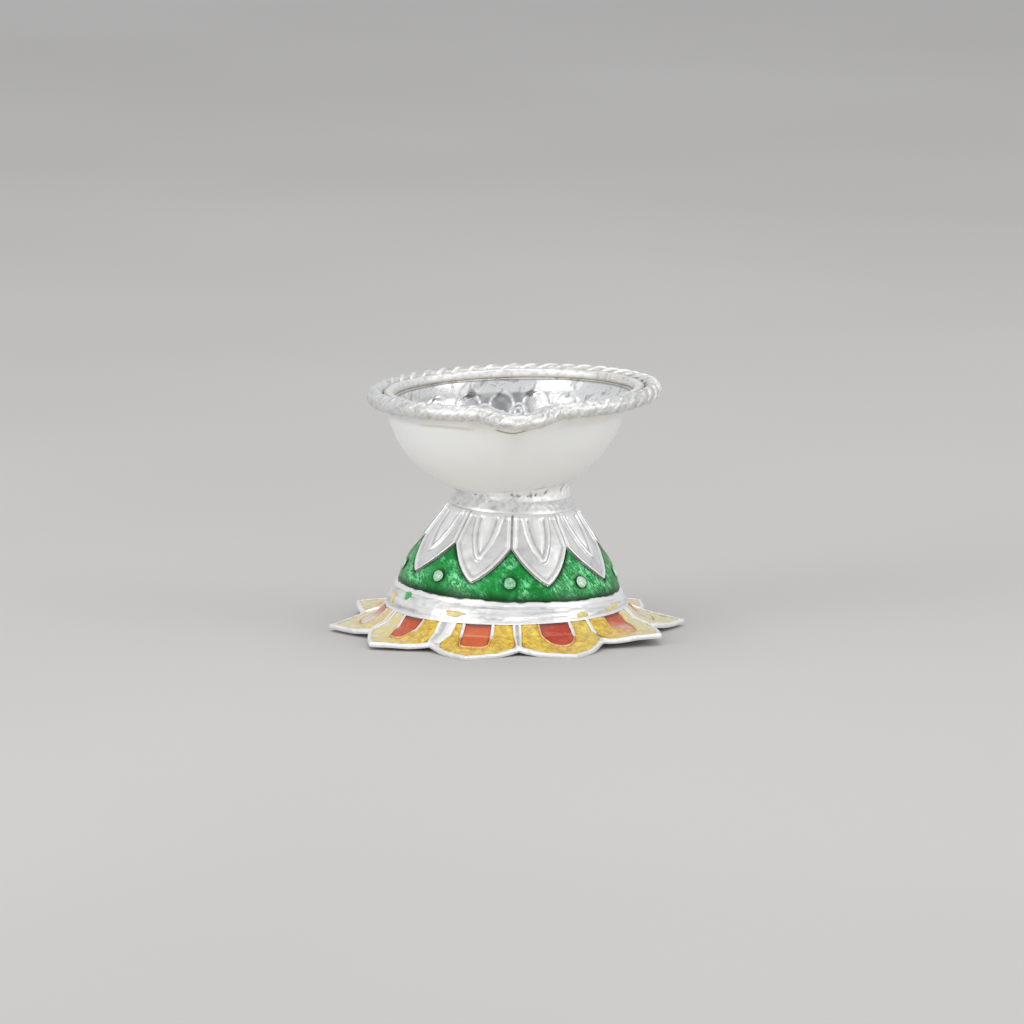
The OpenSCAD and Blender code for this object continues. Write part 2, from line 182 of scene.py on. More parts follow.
class Shape:
    """One or more closed shells, with named numbers on their points. All its shells have the same names."""

    def __init__(self):
        self.points, self.faces, self.values, self.count = [], [], {}, 0

    def shell(self, points, faces, values):
        fans = np.concatenate([np.stack([f[:, 0], f[:, k], f[:, k + 1]], -1)
                               for f in faces for k in range(1, f.shape[1] - 1)])
        a, b, c = (points[fans[:, k]] for k in range(3))
        if np.einsum("ij,ij->i", a, np.cross(b, c)).sum() < 0:
            faces = [f[:, ::-1] for f in faces]
        for f in faces:
            self.faces.extend((f + self.count).tolist())
        for name, value in values.items():
            self.values.setdefault(name, []).append(value)
        self.points.append(points)
        self.count += len(points)
        return self

    def hoop(self, rows, **values):
        """A ring-shaped shell: the last row meets the first."""
        rows = np.asarray(rows, float)
        m, n = rows.shape[:2]
        full = {name: np.broadcast_to(v, (m, n)).ravel() for name, v in values.items()}
        return self.shell(rows.reshape(-1, 3), [strip(m, n, True)], full)

    def capped(self, rows, **values):
        """A shell closed at both ends by a fan round the middle of the end row."""
        rows = np.asarray(rows, float)
        m, n = rows.shape[:2]
        i = np.arange(n)
        j = (i + 1) % n
        first = np.stack([np.full(n, m * n), j, i], -1)
        last = np.stack([np.full(n, m * n + 1), (m - 1) * n + i, (m - 1) * n + j], -1)
        points = np.concatenate([rows.reshape(-1, 3), [rows[0].mean(0), rows[-1].mean(0)]])
        full = {}
        for name, v in values.items():
            v = np.broadcast_to(v, (m, n)).astype(float)
            full[name] = np.concatenate([v.ravel(), [v[0].mean(), v[-1].mean()]])
        return self.shell(points, [strip(m, n, False), first, last], full)

    def make(self, name, material, slot, *nodes, turn=0.0):
        mesh = bpy.data.meshes.new(name)
        points = np.concatenate(self.points)
        x, y = points[:, 0], points[:, 1]
        points = stack(x * cos_d(turn) - y * sin_d(turn), x * sin_d(turn) + y * cos_d(turn), points[:, 2])
        mesh.from_pydata((points * MM).tolist(), [], self.faces)
        for key, parts in self.values.items():
            layer = mesh.attributes.new(key, "FLOAT", "POINT")
            layer.data.foreach_set("value", np.concatenate(parts).astype(np.float32))
        weld_same_points(mesh)
        mesh.shade_smooth()
        mesh.set_sharp_from_angle(angle=math.radians(40))
        mesh.materials.append(material)
        piece = bpy.data.objects.new(name, mesh)
        bpy.context.scene.collection.objects.link(piece)
        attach(piece, "root")
        if nodes:
            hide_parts(*nodes)
        return piece


# ---- materials ----

class Paint:
    """A material under construction. Its textures lie in the object's own space, in millimetres."""

    def __init__(self, name, **constants):
        self.material = bpy.data.materials.new(name)
        self.material.use_nodes = True
        self.tree = self.material.node_tree
        self.shader = self.tree.nodes["Principled BSDF"]
        for key, value in constants.items():
            self.shader.inputs[key.replace("_", " ")].default_value = value
        place = self.add("ShaderNodeTexCoord").outputs["Object"]
        self.mm = self.scaled(place, (1000, 1000, 1000))
        self.normal = None

    def add(self, kind, inputs=None, **props):
        node = self.tree.nodes.new(kind)
        for key, value in props.items():
            setattr(node, key, value)
        for key, value in (inputs or {}).items():
            if isinstance(value, bpy.types.NodeSocket):
                self.tree.links.new(value, node.inputs[key])
            else:
                node.inputs[key].default_value = value
        return node

    def scaled(self, place, by):
        return self.add("ShaderNodeVectorMath", {0: place, 1: by}, operation="MULTIPLY").outputs[0]

    def noise(self, scale, detail=3.0, rough=0.55, distort=0.0, stretch=None, place=None):
        place = place or self.mm
        return self.add("ShaderNodeTexNoise", {
            "Vector": self.scaled(place, stretch) if stretch else place, "Scale": scale, "Detail": detail,
            "Roughness": rough, "Distortion": distort}).outputs[0]

    def cells(self, scale):
        return self.add("ShaderNodeTexVoronoi", {"Vector": self.mm, "Scale": scale}).outputs["Distance"]

    def value(self, name):
        return self.add("ShaderNodeAttribute", attribute_name=name).outputs["Fac"]

    def op(self, operation, a, b=0.0, clamp=False):
        return self.add("ShaderNodeMath", {0: a, 1: b}, operation=operation, use_clamp=clamp).outputs[0]

    def ramp(self, x, low, high, out_low=0.0, out_high=1.0):
        return self.add("ShaderNodeMapRange", {0: x, 1: low, 2: high, 3: out_low, 4: out_high},
                        interpolation_type="SMOOTHSTEP").outputs[0]

    def blend(self, amount, a, b):
        """Colour a, or b where amount is 1."""
        a, b = ((*c, 1.0) if isinstance(c, tuple) else c for c in (a, b))
        return self.add("ShaderNodeMix", {0: amount, 6: a, 7: b}, data_type="RGBA").outputs[2]

    def part(self, amount, share):
        return self.op("MULTIPLY", amount, share)

    def dent(self, height, strength, distance):
        inputs = {"Height": height, "Strength": strength, "Distance": distance * MM}
        if self.normal:
            inputs["Normal"] = self.normal
        self.normal = self.add("ShaderNodeBump", inputs).outputs[0]

    def finish(self, **links):
        if self.normal:
            links["Normal"] = self.normal
        for key, value in links.items():
            self.tree.links.new(value, self.shader.inputs[key.replace("_", " ")])
        return self.material


SILVER = (0.93, 0.93, 0.92)
SILVER_DIM = (0.80, 0.80, 0.785)
SILVER_GREY_AND_SHADE = (0.42, 0.42, 0.41)
SILVER_HIGHLIGHT = (0.99, 0.985, 0.97)
TARNISH_AND_SHADE = (0.52, 0.44, 0.28)


def bright_silver(name, rough, grain_scale=3.0, dent=0.35, dirt=0.8, metallic=0.8):
    """Worn, burnished silver, greyed with painted shade in its hollows and brightened with painted highlights
    on its edges.
    """
    p = Paint(name, Metallic=metallic)
    wear = p.noise(grain_scale, 5, 0.65)
    cloud = p.ramp(p.noise(0.35, 3), 0.35, 0.7)
    colour = p.blend(p.part(cloud, 0.35), SILVER, SILVER_DIM)
    colour = p.blend(p.part(p.ramp(wear, 0.5, 0.8), 0.3), colour, (0.62, 0.62, 0.60))
    # low: painted shade in hollows and crevices, mixed with random grey specks
    low = p.op("MULTIPLY", p.value("low"), p.ramp(p.noise(1.3, 4), 0.3, 0.6, 0.6, 1.0), clamp=True)
    colour = p.blend(low, colour, SILVER_GREY_AND_SHADE)
    # high: painted highlights on raised edges, and painted glints
    colour = p.blend(p.value("high"), colour, SILVER_HIGHLIGHT)
    # dirt: tarnish, and painted shade in the crevices between parts
    colour = p.blend(p.part(p.value("dirt"), dirt), colour, TARNISH_AND_SHADE)
    p.dent(wear, dent, 0.06)
    p.dent(p.noise(0.9, 3), 0.25, 0.15)
    return p.finish(Base_Color=colour, Roughness=p.ramp(wear, 0.3, 0.75, rough - 0.07, rough + 0.12))


def solder_silver():
    """Cast solder: pale, pitted and lumpy."""
    p = Paint("solder", Metallic=0.3)
    pits = p.ramp(p.cells(1.7), 0.05, 0.22)
    rough = p.noise(2.2, 5, 0.65)
    colour = p.blend(p.ramp(rough, 0.45, 0.8), (0.86, 0.865, 0.85), (0.62, 0.62, 0.60))
    # high: painted highlights on the lumps at the right of the seam
    colour = p.blend(p.part(p.value("high"), 0.9), colour, SILVER_HIGHLIGHT)
    # darker in the pits
    colour = p.blend(p.part(p.value("dirt"), 0.85), colour, (0.25, 0.25, 0.22))
    p.dent(pits, 0.25, 0.08)
    p.dent(rough, 0.35, 0.10)
    return p.finish(Base_Color=colour, Roughness=p.ramp(rough, 0.3, 0.7, 0.3, 0.5))


def green_glass():
    """Clear green enamel over engraved silver: light flecks, dark where it is thick along the walls."""
    p = Paint("green_enamel_glass", Roughness=0.35, Coat_Weight=0.15, Coat_Roughness=0.15,
              Specular_IOR_Level=0.15)
    leaning = p.add("ShaderNodeVectorRotate", {"Vector": p.mm, "Axis": (0, 1, 0), "Angle": 0.7}).outputs[0]
    strokes = p.noise(1.0, 4, 0.65, 1.2, stretch=(2.8, 1.6, 1.0), place=leaning)
    patches = p.op("ADD", p.ramp(p.noise(0.5, 3, 0.6, 0.6), 0.46, 0.68), p.value("fleck"), clamp=True)
    flecks = p.part(p.ramp(strokes, 0.44, 0.58), patches)
    sparkle = p.ramp(p.noise(3.2, 4, 0.7), 0.50, 0.72)
    colour = p.blend(p.ramp(p.noise(0.8, 4), 0.3, 0.7), (0.004, 0.20, 0.028), (0.010, 0.32, 0.055))
    colour = p.blend(p.part(sparkle, 0.40), colour, (0.06, 0.50, 0.15))
    colour = p.blend(p.part(flecks, 0.95), colour, (0.27, 0.88, 0.42))
    colour = p.blend(p.value("shade"), colour, (0.001, 0.030, 0.004))
    p.dent(p.noise(1.4, 3), 0.15, 0.10)
    return p.finish(Base_Color=colour)


FOOT_GLOSS = dict(Roughness=0.25, Coat_Weight=0.35, Coat_Roughness=0.1, Specular_IOR_Level=0.35)


def red_glass():
    """Orange-red enamel, a little uneven, with a painted highlight along the line where the sheet is creased
    under it.
    """
    p = Paint("red_enamel_glass", **FOOT_GLOSS)
    streak = p.noise(1.5, 5, 0.65, 0.4, stretch=(0.7, 0.7, 2.2))
    colour = p.blend(p.value("tone"), (0.66, 0.115, 0.02), (0.46, 0.028, 0.014))
    colour = p.blend(p.part(p.ramp(streak, 0.45, 0.75), 0.5), colour, (0.78, 0.22, 0.09))
    colour = p.blend(p.part(p.ramp(p.noise(4.5, 3), 0.55, 0.8), 0.35), colour, (0.28, 0.025, 0.012))
    colour = p.blend(p.value("shade"), colour, (0.26, 0.03, 0.010))
    # painted highlight along the crease
    colour = p.blend(p.value("glow"), colour, (0.92, 0.42, 0.26))
    pale = p.blend(p.ramp(streak, 0.4, 0.65), (0.72, 0.62, 0.40), (0.80, 0.77, 0.68))
    colour = p.blend(p.value("fade"), colour, pale)
    p.dent(p.noise(2.2, 4, 0.6), 0.3, 0.10)
    return p.finish(Base_Color=colour)


def yellow_glass():
    """Golden enamel, streaked where the metal shines through and paler towards the tips at the sides."""
    p = Paint("yellow_enamel_glass", **FOOT_GLOSS)
    streak = p.noise(1.0, 4, 0.65, 0.5, stretch=(1.1, 0.9, 2.2))
    lemon = p.ramp(p.noise(1.6, 3, 0.6, 1.4), 0.54, 0.70)
    colour = p.blend(p.ramp(streak, 0.38, 0.62), (0.60, 0.33, 0.010), (0.90, 0.66, 0.05))
    colour = p.blend(p.part(lemon, 0.85), colour, (0.92, 0.78, 0.08))
    colour = p.blend(p.part(p.value("shade"), 0.85), colour, (0.36, 0.14, 0.010))
    pale = p.blend(p.ramp(p.noise(0.9, 4), 0.4, 0.65), (0.78, 0.68, 0.30), (0.82, 0.80, 0.64))
    colour = p.blend(p.value("fade"), colour, pale)
    p.dent(streak, 0.3, 0.10)
    return p.finish(Base_Color=colour)


def bowl_silver():
    """Frosted white outside, with painted shade under the rim; bright inside, with painted reflections in
    grey between its raised lines, painted highlights on them and painted shade at the back.
    """
    p = Paint("bowl_silver")
    fine = p.noise(9, 3, 0.6)
    cloud = p.ramp(p.noise(0.2, 4), 0.35, 0.75)
    sheen = p.noise(0.5, 4, 0.6, 0.8)
    is_in = p.value("inside")
    outside = p.blend(p.part(cloud, 0.3), (0.88, 0.885, 0.87), (0.82, 0.83, 0.815))
    # tan: painted shade under the rim and along the rope, and the real colour of the crust
    outside = p.blend(p.part(p.value("dirt"), 0.9), outside, (0.66, 0.62, 0.48))
    # near black: painted shadow in the gap under the beak
    outside = p.blend(p.ramp(p.value("dirt"), 0.7, 1.0), outside, (0.16, 0.14, 0.09))
    specked = p.ramp(p.noise(2.2, 4, 0.7), 0.60, 0.80)
    outside = p.blend(p.part(specked, 0.25), outside, (0.68, 0.68, 0.65))
    # bright and grey patches of painted reflection
    within = p.blend(p.ramp(sheen, 0.50, 0.66), (0.96, 0.96, 0.955), (0.50, 0.505, 0.51))
    # painted shade at the back of the inside
    grey = p.part(p.value("centre"), p.ramp(sheen, 0.35, 0.55, 0.55, 0.95))
    within = p.blend(grey, within, (0.36, 0.365, 0.37))
    blotched = p.ramp(p.noise(1.8, 5, 0.7), 0.58, 0.75)
    within = p.blend(p.part(blotched, 0.6), within, (0.22, 0.22, 0.22))
    # painted highlight on the raised lines
    within = p.blend(p.value("raised"), within, (0.99, 0.99, 0.98))
    # painted shade under the band, and the darker punched dots
    within = p.blend(p.op("MULTIPLY", p.value("dirt"), 1.5, clamp=True), within, (0.16, 0.15, 0.12))
    p.dent(fine, 0.2, 0.03)
    p.dent(p.noise(1.1, 4, 0.6), 0.25, 0.08)
    rough = p.blend(is_in, p.ramp(fine, 0.3, 0.7, 0.5, 0.62), p.ramp(sheen, 0.3, 0.7, 0.22, 0.40))
    return p.finish(Base_Color=p.blend(is_in, outside, within), Roughness=rough,
                    Metallic=p.ramp(is_in, 0, 1, 0.12, 0.92))


# ---- handmade lean ----

def lean_stand(p):
    share = smooth((p[..., 2] - SEAM_Z) / (GREEN_FOOT_Z - SEAM_Z)) * STAND_LEAN
    return stack(p[..., 0] + p[..., 2] * share, p[..., 1], p[..., 2] - p[..., 0] * share)


def lean_bowl(p):
    x, y, z = p[..., 0], p[..., 1], p[..., 2]
    low = BOWL_OFFSET * (1 - smooth((z - 24) / 5))
    high = RIM_OFFSET * smooth((z - 30.2) / 2.2)
    share = smooth((z - 22) / 8) * RIM_LEAN
    return stack(x + low + high, y, z + x * share)


# ---- bowl ----

def beak(a):
    tip = 0.12
    s = np.sqrt((wrapped(a) / BEAK_HALF) ** 2 + tip * tip) - tip
    return clamp01(1 - s / (math.sqrt(1 + tip * tip) - tip)) ** 1.7


def bowl_angles(n):
    """Columns stand closer together round the beak."""
    u = 360 * np.arange(n) / n
    return u - 20 * sin_d(u) - 3 * sin_d(2 * u)


def bowl_point(a, t, wall):
    z = BOWL_TOP_Z - (BOWL_DEPTH - wall) * cos_d(t)
    share = beak(a) * clamp01((z - BEAK_FOOT_Z) / (LIP_Z - BEAK_FOOT_Z)) ** 3
    return polar((BOWL_R - wall) * sin_d(t) + BEAK_REACH * share, a, z - BEAK_DIP * share)


LINE_HEIGHT = 0.12


def inner_pattern(a, t):
    """The stamped pattern inside the bowl: rings of round scales in raised line, with punched dots."""
    lift = np.zeros(np.broadcast(a, t).shape)
    round_mm = (BOWL_R - BOWL_WALL) * sin_d(t) * math.pi / 180
    along_mm = (BOWL_DEPTH - BOWL_WALL) * math.pi / 180

    def away(centre_t, count, turn):
        """Distance from the nearest of count places round the bowl."""
        step = 360 / count
        side = (a - turn) - step * np.round((a - turn) / step)
        return np.hypot(side * round_mm, (t - centre_t) * along_mm)

    # for each ring of scales: its angle from the bottom, their number, turn and radius
    rings = [(72.5, 20, 0, 1.75), (68.5, 20, 9, 1.1), (68.5, 20, 9, 0.5), (60, 20, 0, 1.6), (54, 20, 9, 1.5),
             (44, 16, 0, 1.7), (36, 16, 11.25, 1.5), (26, 10, 0, 1.8), (15, 6, 0, 1.5), (0, 1, 0, 1.2)]
    for centre_t, count, turn, radius in rings:
        lift = np.maximum(lift, LINE_HEIGHT * bump01(away(centre_t, count, turn) - radius, 0.16))
    punched = bump01(away(78.6, 10, 2), 0.3)
    for at, wide in ((16.6, 0.7), (-13.9, 0.6)):
        oval = np.hypot((wrapped(a - 180) - at) * round_mm / wide, (t - 79.0) * along_mm / 0.5)
        punched = np.maximum(punched, smooth((1.35 - oval) / 0.6))
    small = bump01(away(48, 20, 0), 0.4)
    return lift - 0.16 * punched - 0.1 * small, np.maximum(punched, 0.5 * small)


def make_bowl():
    n = 560
    a = bowl_angles(n)[None, :]
    outer_t = np.concatenate([[3], np.linspace(6, 70, 34), np.linspace(71, 82, 23)])[:, None]
    outer = bowl_point(a, outer_t, 0)
    lip_rows = [(0.10, -0.60), (0.33, -0.40), (0.45, -0.20), (0.44, -0.04), (0.32, 0.02), (0.05, 0.03),
                (-0.22, -0.01), (-0.38, -0.15), (-0.45, -0.40)]
    lip = np.stack([polar(BOWL_R + r + BEAK_REACH * beak(a[0]), a[0], LIP_Z + z - BEAK_DIP * beak(a[0]))
                    for r, z in lip_rows])
    inner_t = np.concatenate([np.linspace(81, 56, 66), np.linspace(55, 4, 42)])[:, None]
    lift, deep = inner_pattern(a, inner_t)
    inner = bowl_point(a, inner_t, BOWL_WALL)
    inward = polar(-sin_d(inner_t), a, cos_d(inner_t))
    rough = 0.05 * grain(inner, 2.3, 5) + 0.025 * grain(inner, 0.9, 6)
    inner = inner + inward * (lift + rough)[..., None]
    outward = polar(sin_d(outer_t), a, -cos_d(outer_t))
    outer = outer + outward * (0.05 * grain(outer, 5.0, 1) + 0.012 * grain(outer, 1.2, 2))[..., None]
    m_out, m_lip, m_in = len(outer_t), len(lip_rows), len(inner_t)
    inside = np.concatenate([np.zeros(m_out), [0, 0, 0.3, 0.7, 1, 1, 1, 1, 1], np.ones(m_in)])[:, None]
    raised = np.concatenate([np.zeros((m_out + m_lip, n)), clamp01(lift / LINE_HEIGHT)])
    # under_rim with cloudy: patchy painted shade under the rim, on the front half
    under_rim = smooth((outer_t - 76) / 6)
    cloudy = smooth((grain(outer, 2.6, 9) + 0.25) / 0.8) * smooth((cos_d(a) + 0.2) * 2)
    turn = wrapped(a)
    # painted shadow in the gap under the beak, below the rope
    painted_gap_shadow = bump01(outer_t - 79.3 - 0.009 * turn ** 2, 0.8) * smooth((13 - np.abs(turn)) / 6)
    # painted shade in a thin tan line along the rope's lower edge, at the front left
    rope_shade_t = 79.2 - 0.02 * (turn + 16) + 0.6 * grain(polar(10, a, 0), 2.5, 12)
    painted_rope_shade = 0.8 * bump01(outer_t - rope_shade_t, 0.75) * smooth((turn + 56) / 12) * smooth((-16 - turn) / 6)
    blob = smooth((42 - outer_t) / 9) * bump01(turn - 38, 30)
    outer = outer + outward * (0.12 * blob * grain(outer, 0.55, 10))[..., None]
    crust = 0.5 * blob * clamp01(0.15 + 1.5 * grain(outer, 0.6, 11))
    # painted shade on the lip under the rim, outside and inside
    lip_dirt = np.array([0.6, 0.5, 0.3, 0, 0, 0, 0.3, 0.9, 0.12])[:, None] * (0.55 + 0.45 * cloudy[-1:])
    outer_dirt = np.maximum.reduce([painted_gap_shadow, painted_rope_shade, 0.30 * under_rim * cloudy, crust])
    # inside, the punched dots are darker
    dirt = np.concatenate([outer_dirt, lip_dirt, 0.55 * deep])
    rows = np.concatenate([outer, lip, inner])
    # painted shade at the back of the inside
    painted_back_shade = bump01(wrapped(a - 180), 26) * smooth((inner_t - 40) / 15) * smooth((80.5 - inner_t) / 2)
    centre = np.concatenate([np.zeros((m_out + m_lip, n)), painted_back_shade])
    Shape().capped(lean_bowl(rows), inside=inside, raised=raised, dirt=dirt, centre=centre).make(
        "bowl_spun", bowl_silver(), "silver_bowl", "bowl")


# ---- rim ----

def rim_edge(a):
    return polar(BOWL_R + BEAK_REACH * beak(a), a, 0)


def rim_out(a):
    s = rim_edge(a + 0.5) - rim_edge(a - 0.5)
    out = stack(s[..., 1], -s[..., 0], 0)
    return out / np.linalg.norm(out, axis=-1, keepdims=True)


def rim_point(a, d, z):
    """d and z may be rows, against columns a."""
    shape = np.broadcast(a, d, z).shape
    out = np.broadcast_to(rim_out(a), shape + (3,))
    edge = np.broadcast_to(rim_edge(a), shape + (3,))
    d, z = (np.broadcast_to(v, shape)[..., None] for v in (d, z))
    dip = np.broadcast_to(BEAK_DIP * beak(a), shape)[..., None]
    return edge + out * d + (z - dip) * np.array([0, 0, 1.0])


def make_rim_band(silver):
    a = bowl_angles(720)[None, :]
    section = np.array([
        (0.02, 0.0), (0.6, -0.01), (1.22, 0.0), (1.25, 0.15), (1.25, 0.7), (1.22, 0.92), (1.1, 1.04),
        (0.8, 1.07), (0.4, 1.06), (0.17, 1.02), (0.05, 0.93), (0.0, 0.78), (0.0, 0.4), (0.0, 0.12)])
    d, z = section[:, 0][:, None], section[:, 1][:, None]
    flat = rim_point(a, d, BAND_Z + z)
    top = smooth((z - 0.5) / 0.4)
    ripple = 0.035 * grain(flat, 1.1, 21) + 0.05 * grain(flat, 3.5, 22)
    near = 0.5 + 0.5 * smooth((60 - np.abs(wrapped(a))) / 30)
    burr = top * near * (0.20 * (d < 0.3) * grain(flat, 0.5, 23) + 0.07 * grain(flat, 0.7, 26))
    rows = rim_point(a, d - 0.6 * ripple * (d < 0.5), BAND_Z + z + ripple * top + burr)
    seam = 0.6 + 0.4 * grain(flat, 1.4, 24)
    # dark lines in the crevice at the band's foot and where the rope meets it: painted shade, with real
    # specks of dirt
    dirt = (0.9 * (1 - smooth(z / 0.30)) * (d < 0.3) + 0.6 * (d > 0.95) * (z > 0.6) * seam
            + 0.15 * specks(flat, 2.0, 25) * (d < 0.3))
    # grey: random specks, and painted shade on the outer top under the rope
    low = 0.5 * specks(flat, 0.5, 27, 1.5) + 0.5 * (d > 0.8) * top
    # high: painted glints
    high = 0.6 * specks(flat, 0.7, 28)
    Shape().hoop(lean_bowl(rows), dirt=clamp01(dirt), low=clamp01(low), high=high).make(
        "rim_band_strip", silver, "silver_rim", "rim_band")


def worn(a):
    """How far the rope is worn down and filled: most on the left and in front, least on the right."""
    return np.interp(wrapped(a), [-180, -140, -105, -60, -10, 30, 62, 84, 112, 145, 180],
                     [0.40, 0.45, 0.84, 0.82, 0.76, 0.80, 0.66, 0.15, 0.18, 0.35, 0.40])


def make_rope(silver):
    rings, sides = 720, 12
    a = bowl_angles(rings)
    path = rim_point(a, ROPE_OFFSET, ROPE_Z)
    steps = np.linalg.norm(np.roll(path, -1, axis=0) - path, axis=1)
    run = np.concatenate([[0], np.cumsum(steps)])
    turns = round(run[-1] / ROPE_PITCH)
    share = run[:-1] / run[-1]
    loose = 7 * np.sin(2 * math.pi * 5 * share + 1) + 5 * np.sin(2 * math.pi * 11 * share)
    wear = worn(a)
    cap = ROPE_R * (1 - 0.09 * wear)

    def placed(d, z):
        """Points beside the rope's middle line, d outwards and z up, kept inside the worn outline."""
        reach = np.hypot(d, z)
        keep = np.minimum(1, cap[:, None] / np.maximum(reach, 1e-6))
        rows = rim_point(a[:, None], ROPE_OFFSET + d * keep, ROPE_Z + z * keep)
        return rows, np.minimum(reach, cap[:, None])

    k = 360 * np.arange(sides) / sides
    for letter, phase in zip("abc", (0, 120, 240)):
        turn = phase + 360 * turns * share + loose
        size = STRAND_R * (1 + 0.05 * np.sin(2 * math.pi * 7 * share + phase))
        b = turn[:, None] - k[None, :]
        d = STRAND_OFFSET * cos_d(turn)[:, None] + size[:, None] * cos_d(b)
        z = STRAND_OFFSET * sin_d(turn)[:, None] + size[:, None] * sin_d(b)
        rows, reach = placed(d, z)
        lump = 0.10 * grain(rows, 0.42, 31) * (0.3 + 0.7 * wear[:, None]) + 0.05 * grain(rows, 1.2, 32)
        rows = rows + lump[..., None] * np.array([0, 0, 1.0])
        dirt = 0.8 * smooth((0.86 * ROPE_R - reach) / 0.25) * (1 - 0.8 * wear[:, None])
        # low: painted shade on the sunken parts of worn strands, with random grey specks
        low = 0.5 * smooth((0.97 * ROPE_R - reach) / 0.12) * wear[:, None] + 0.5 * specks(rows, 0.42, 34, 1.6)
        # high: painted glints
        high = 0.6 * specks(rows, 0.8, 35)
        Shape().hoop(lean_bowl(rows), dirt=dirt, low=clamp01(low), high=high).make(
            "rope_wire_" + letter, silver, "silver_rim", "rope_strand_" + letter)
    core_sides = 28
    c = 360 * np.arange(core_sides) / core_sides
    lump = 1 + 0.04 * grain(path[:, None] + stack(0, 3 * cos_d(c), 3 * sin_d(c))[None], 1.4, 33)
    radius = ROPE_R * (0.68 + 0.275 * wear)[:, None] * lump
    rows, reach = placed(radius * cos_d(c)[None, :], radius * sin_d(c)[None, :])
    dirt = np.broadcast_to(0.7 * clamp01(1.1 - 1.3 * wear[:, None]), reach.shape)
    rows = rows + (0.10 * grain(rows, 0.42, 36))[..., None] * np.array([0, 0, 1.0])
    low = 0.2 + 0.5 * specks(rows, 0.42, 37, 1.6)
    Shape().hoop(lean_bowl(rows), dirt=dirt, low=low).make("rope_fill", silver, "silver_rim", "rope_strand_a")


# ---- stand ----

def stand_r(z):
    return curve(z, STAND_PROFILE)


def zigzag(w):
    return mix(PETAL_TIP_Z, PETAL_CUSP_Z, w ** 1.25)


def spread(a, z):
    """Angles of the stand's pattern, which opens a little from its cusps down."""
    return a + PATTERN_SPREAD * clamp01((PETAL_CUSP_Z - z) / (PETAL_CUSP_Z - PETAL_TIP_Z)) * sin_d(a)


def bowl_under(x, y):
    return BOWL_TOP_Z - BOWL_DEPTH * np.sqrt(1 - ((x - BOWL_OFFSET) ** 2 + y * y) / BOWL_R ** 2)


def petal_columns(per_half):
    """Angles of the columns round the stand, and how far each is across its petal, from -1 to 1."""
    u = np.arange(per_half) / per_half
    w = 1 - (1 - u) ** 1.5
    across = np.concatenate([[-1], -w[:0:-1], w])
    middles = STAND_TURN + STAND_STEP * np.arange(STAND_PETALS)
    angles = (middles[:, None] + across * STAND_STEP / 2).ravel()
    return angles, np.tile(across, STAND_PETALS)


def distance_to(px, py, line):
    """Shortest distance from points to a polyline."""
    best = np.full(np.broadcast(px, py).shape, 1e9)
    for (ax, ay), (bx, by) in zip(line[:-1], line[1:]):
        dx, dy = bx - ax, by - ay
        t = clamp01(((px - ax) * dx + (py - ay) * dy) / (dx * dx + dy * dy + 1e-12))
        best = np.minimum(best, np.hypot(px - ax - t * dx, py - ay - t * dy))
    return best


HALF_ANGLE = math.radians(STAND_STEP / 2)
SLANT = 1.19    # length along the stand's side for each unit of height
LEAF_TIP_Z, SEED_TIP_Z = 12.0, 13.0


def petal_outline():
    """Half of a petal's outline, unrolled: across and height, from its tip to its upper end."""
    w = np.linspace(0, 1, 60)
    z = zigzag(w)
    lower = np.stack([w * HALF_ANGLE * stand_r(z), z * SLANT], -1)
    z = np.linspace(PETAL_CUSP_Z, PETAL_TOP_Z + 1, 20)[1:]
    side = np.stack([HALF_ANGLE * stand_r(z), z * SLANT], -1)
    return np.concatenate([lower, side])


def leaf_outline(tip_z, wide, belly):
    """Half of a small leaf nested in a petal."""
    u = np.linspace(0, 1, 40)
    z = mix(tip_z, PETAL_TOP_Z + 1, u)
    half = wide * stand_r(z) * HALF_ANGLE * np.sin(math.pi / 2 * np.minimum(1, u / belly)) ** 0.8
    return np.stack([half, z * SLANT], -1)


def petal_relief(across, z):
    """Stamped relief of a petal over the sheet, with painted shade where it is low and grey, and painted
    highlights where it is high and bright.
    """
    px, py = np.abs(across) * HALF_ANGLE * stand_r(z), z * SLANT
    edge = distance_to(px, py, petal_outline())
    upper = 1 - smooth((z - (PETAL_TOP_Z - 0.6)) / 0.5)

    def signed(leaf):
        """Distance outside a leaf, negative within it."""
        away = distance_to(px, py, leaf)
        return np.where((px < np.interp(py, leaf[:, 1], leaf[:, 0], left=0)) & (py > leaf[0, 1]), -away, away)

    leaf = signed(leaf_outline(LEAF_TIP_Z, 0.47, 0.9))
    seed = signed(leaf_outline(SEED_TIP_Z, 0.22, 0.7))
    bead = bump01(edge - 0.36, 0.24)
    collar = bump01(leaf - 0.10, 0.20) * upper
    trench = bump01(leaf + 0.34, 0.17) * upper
    hollow = smooth((edge - 0.55) / 0.35) * smooth((leaf - 0.30) / 0.35)
    pip = smooth(-seed / 0.3) * upper
    groove = 1 - smooth((edge - 0.03) / 0.22)
    height = (0.15 * bead - 0.16 * hollow + 0.15 * collar - 0.13 * trench + 0.10 * pip
              - (RELIEF + 0.05) * groove)
    # low: painted shade in the hollow, the trenches and the grooves
    low = (0.28 * hollow + 0.75 * trench + 0.7 * bump01(leaf - 0.42, 0.12) * upper
           + 0.35 * bump01(edge - 0.75, 0.14) + 0.8 * groove)
    # high: painted highlights on the beads, the collar and the pip
    high = 0.9 * bead + 0.85 * collar + 0.8 * pip
    return height, clamp01(low), clamp01(high)


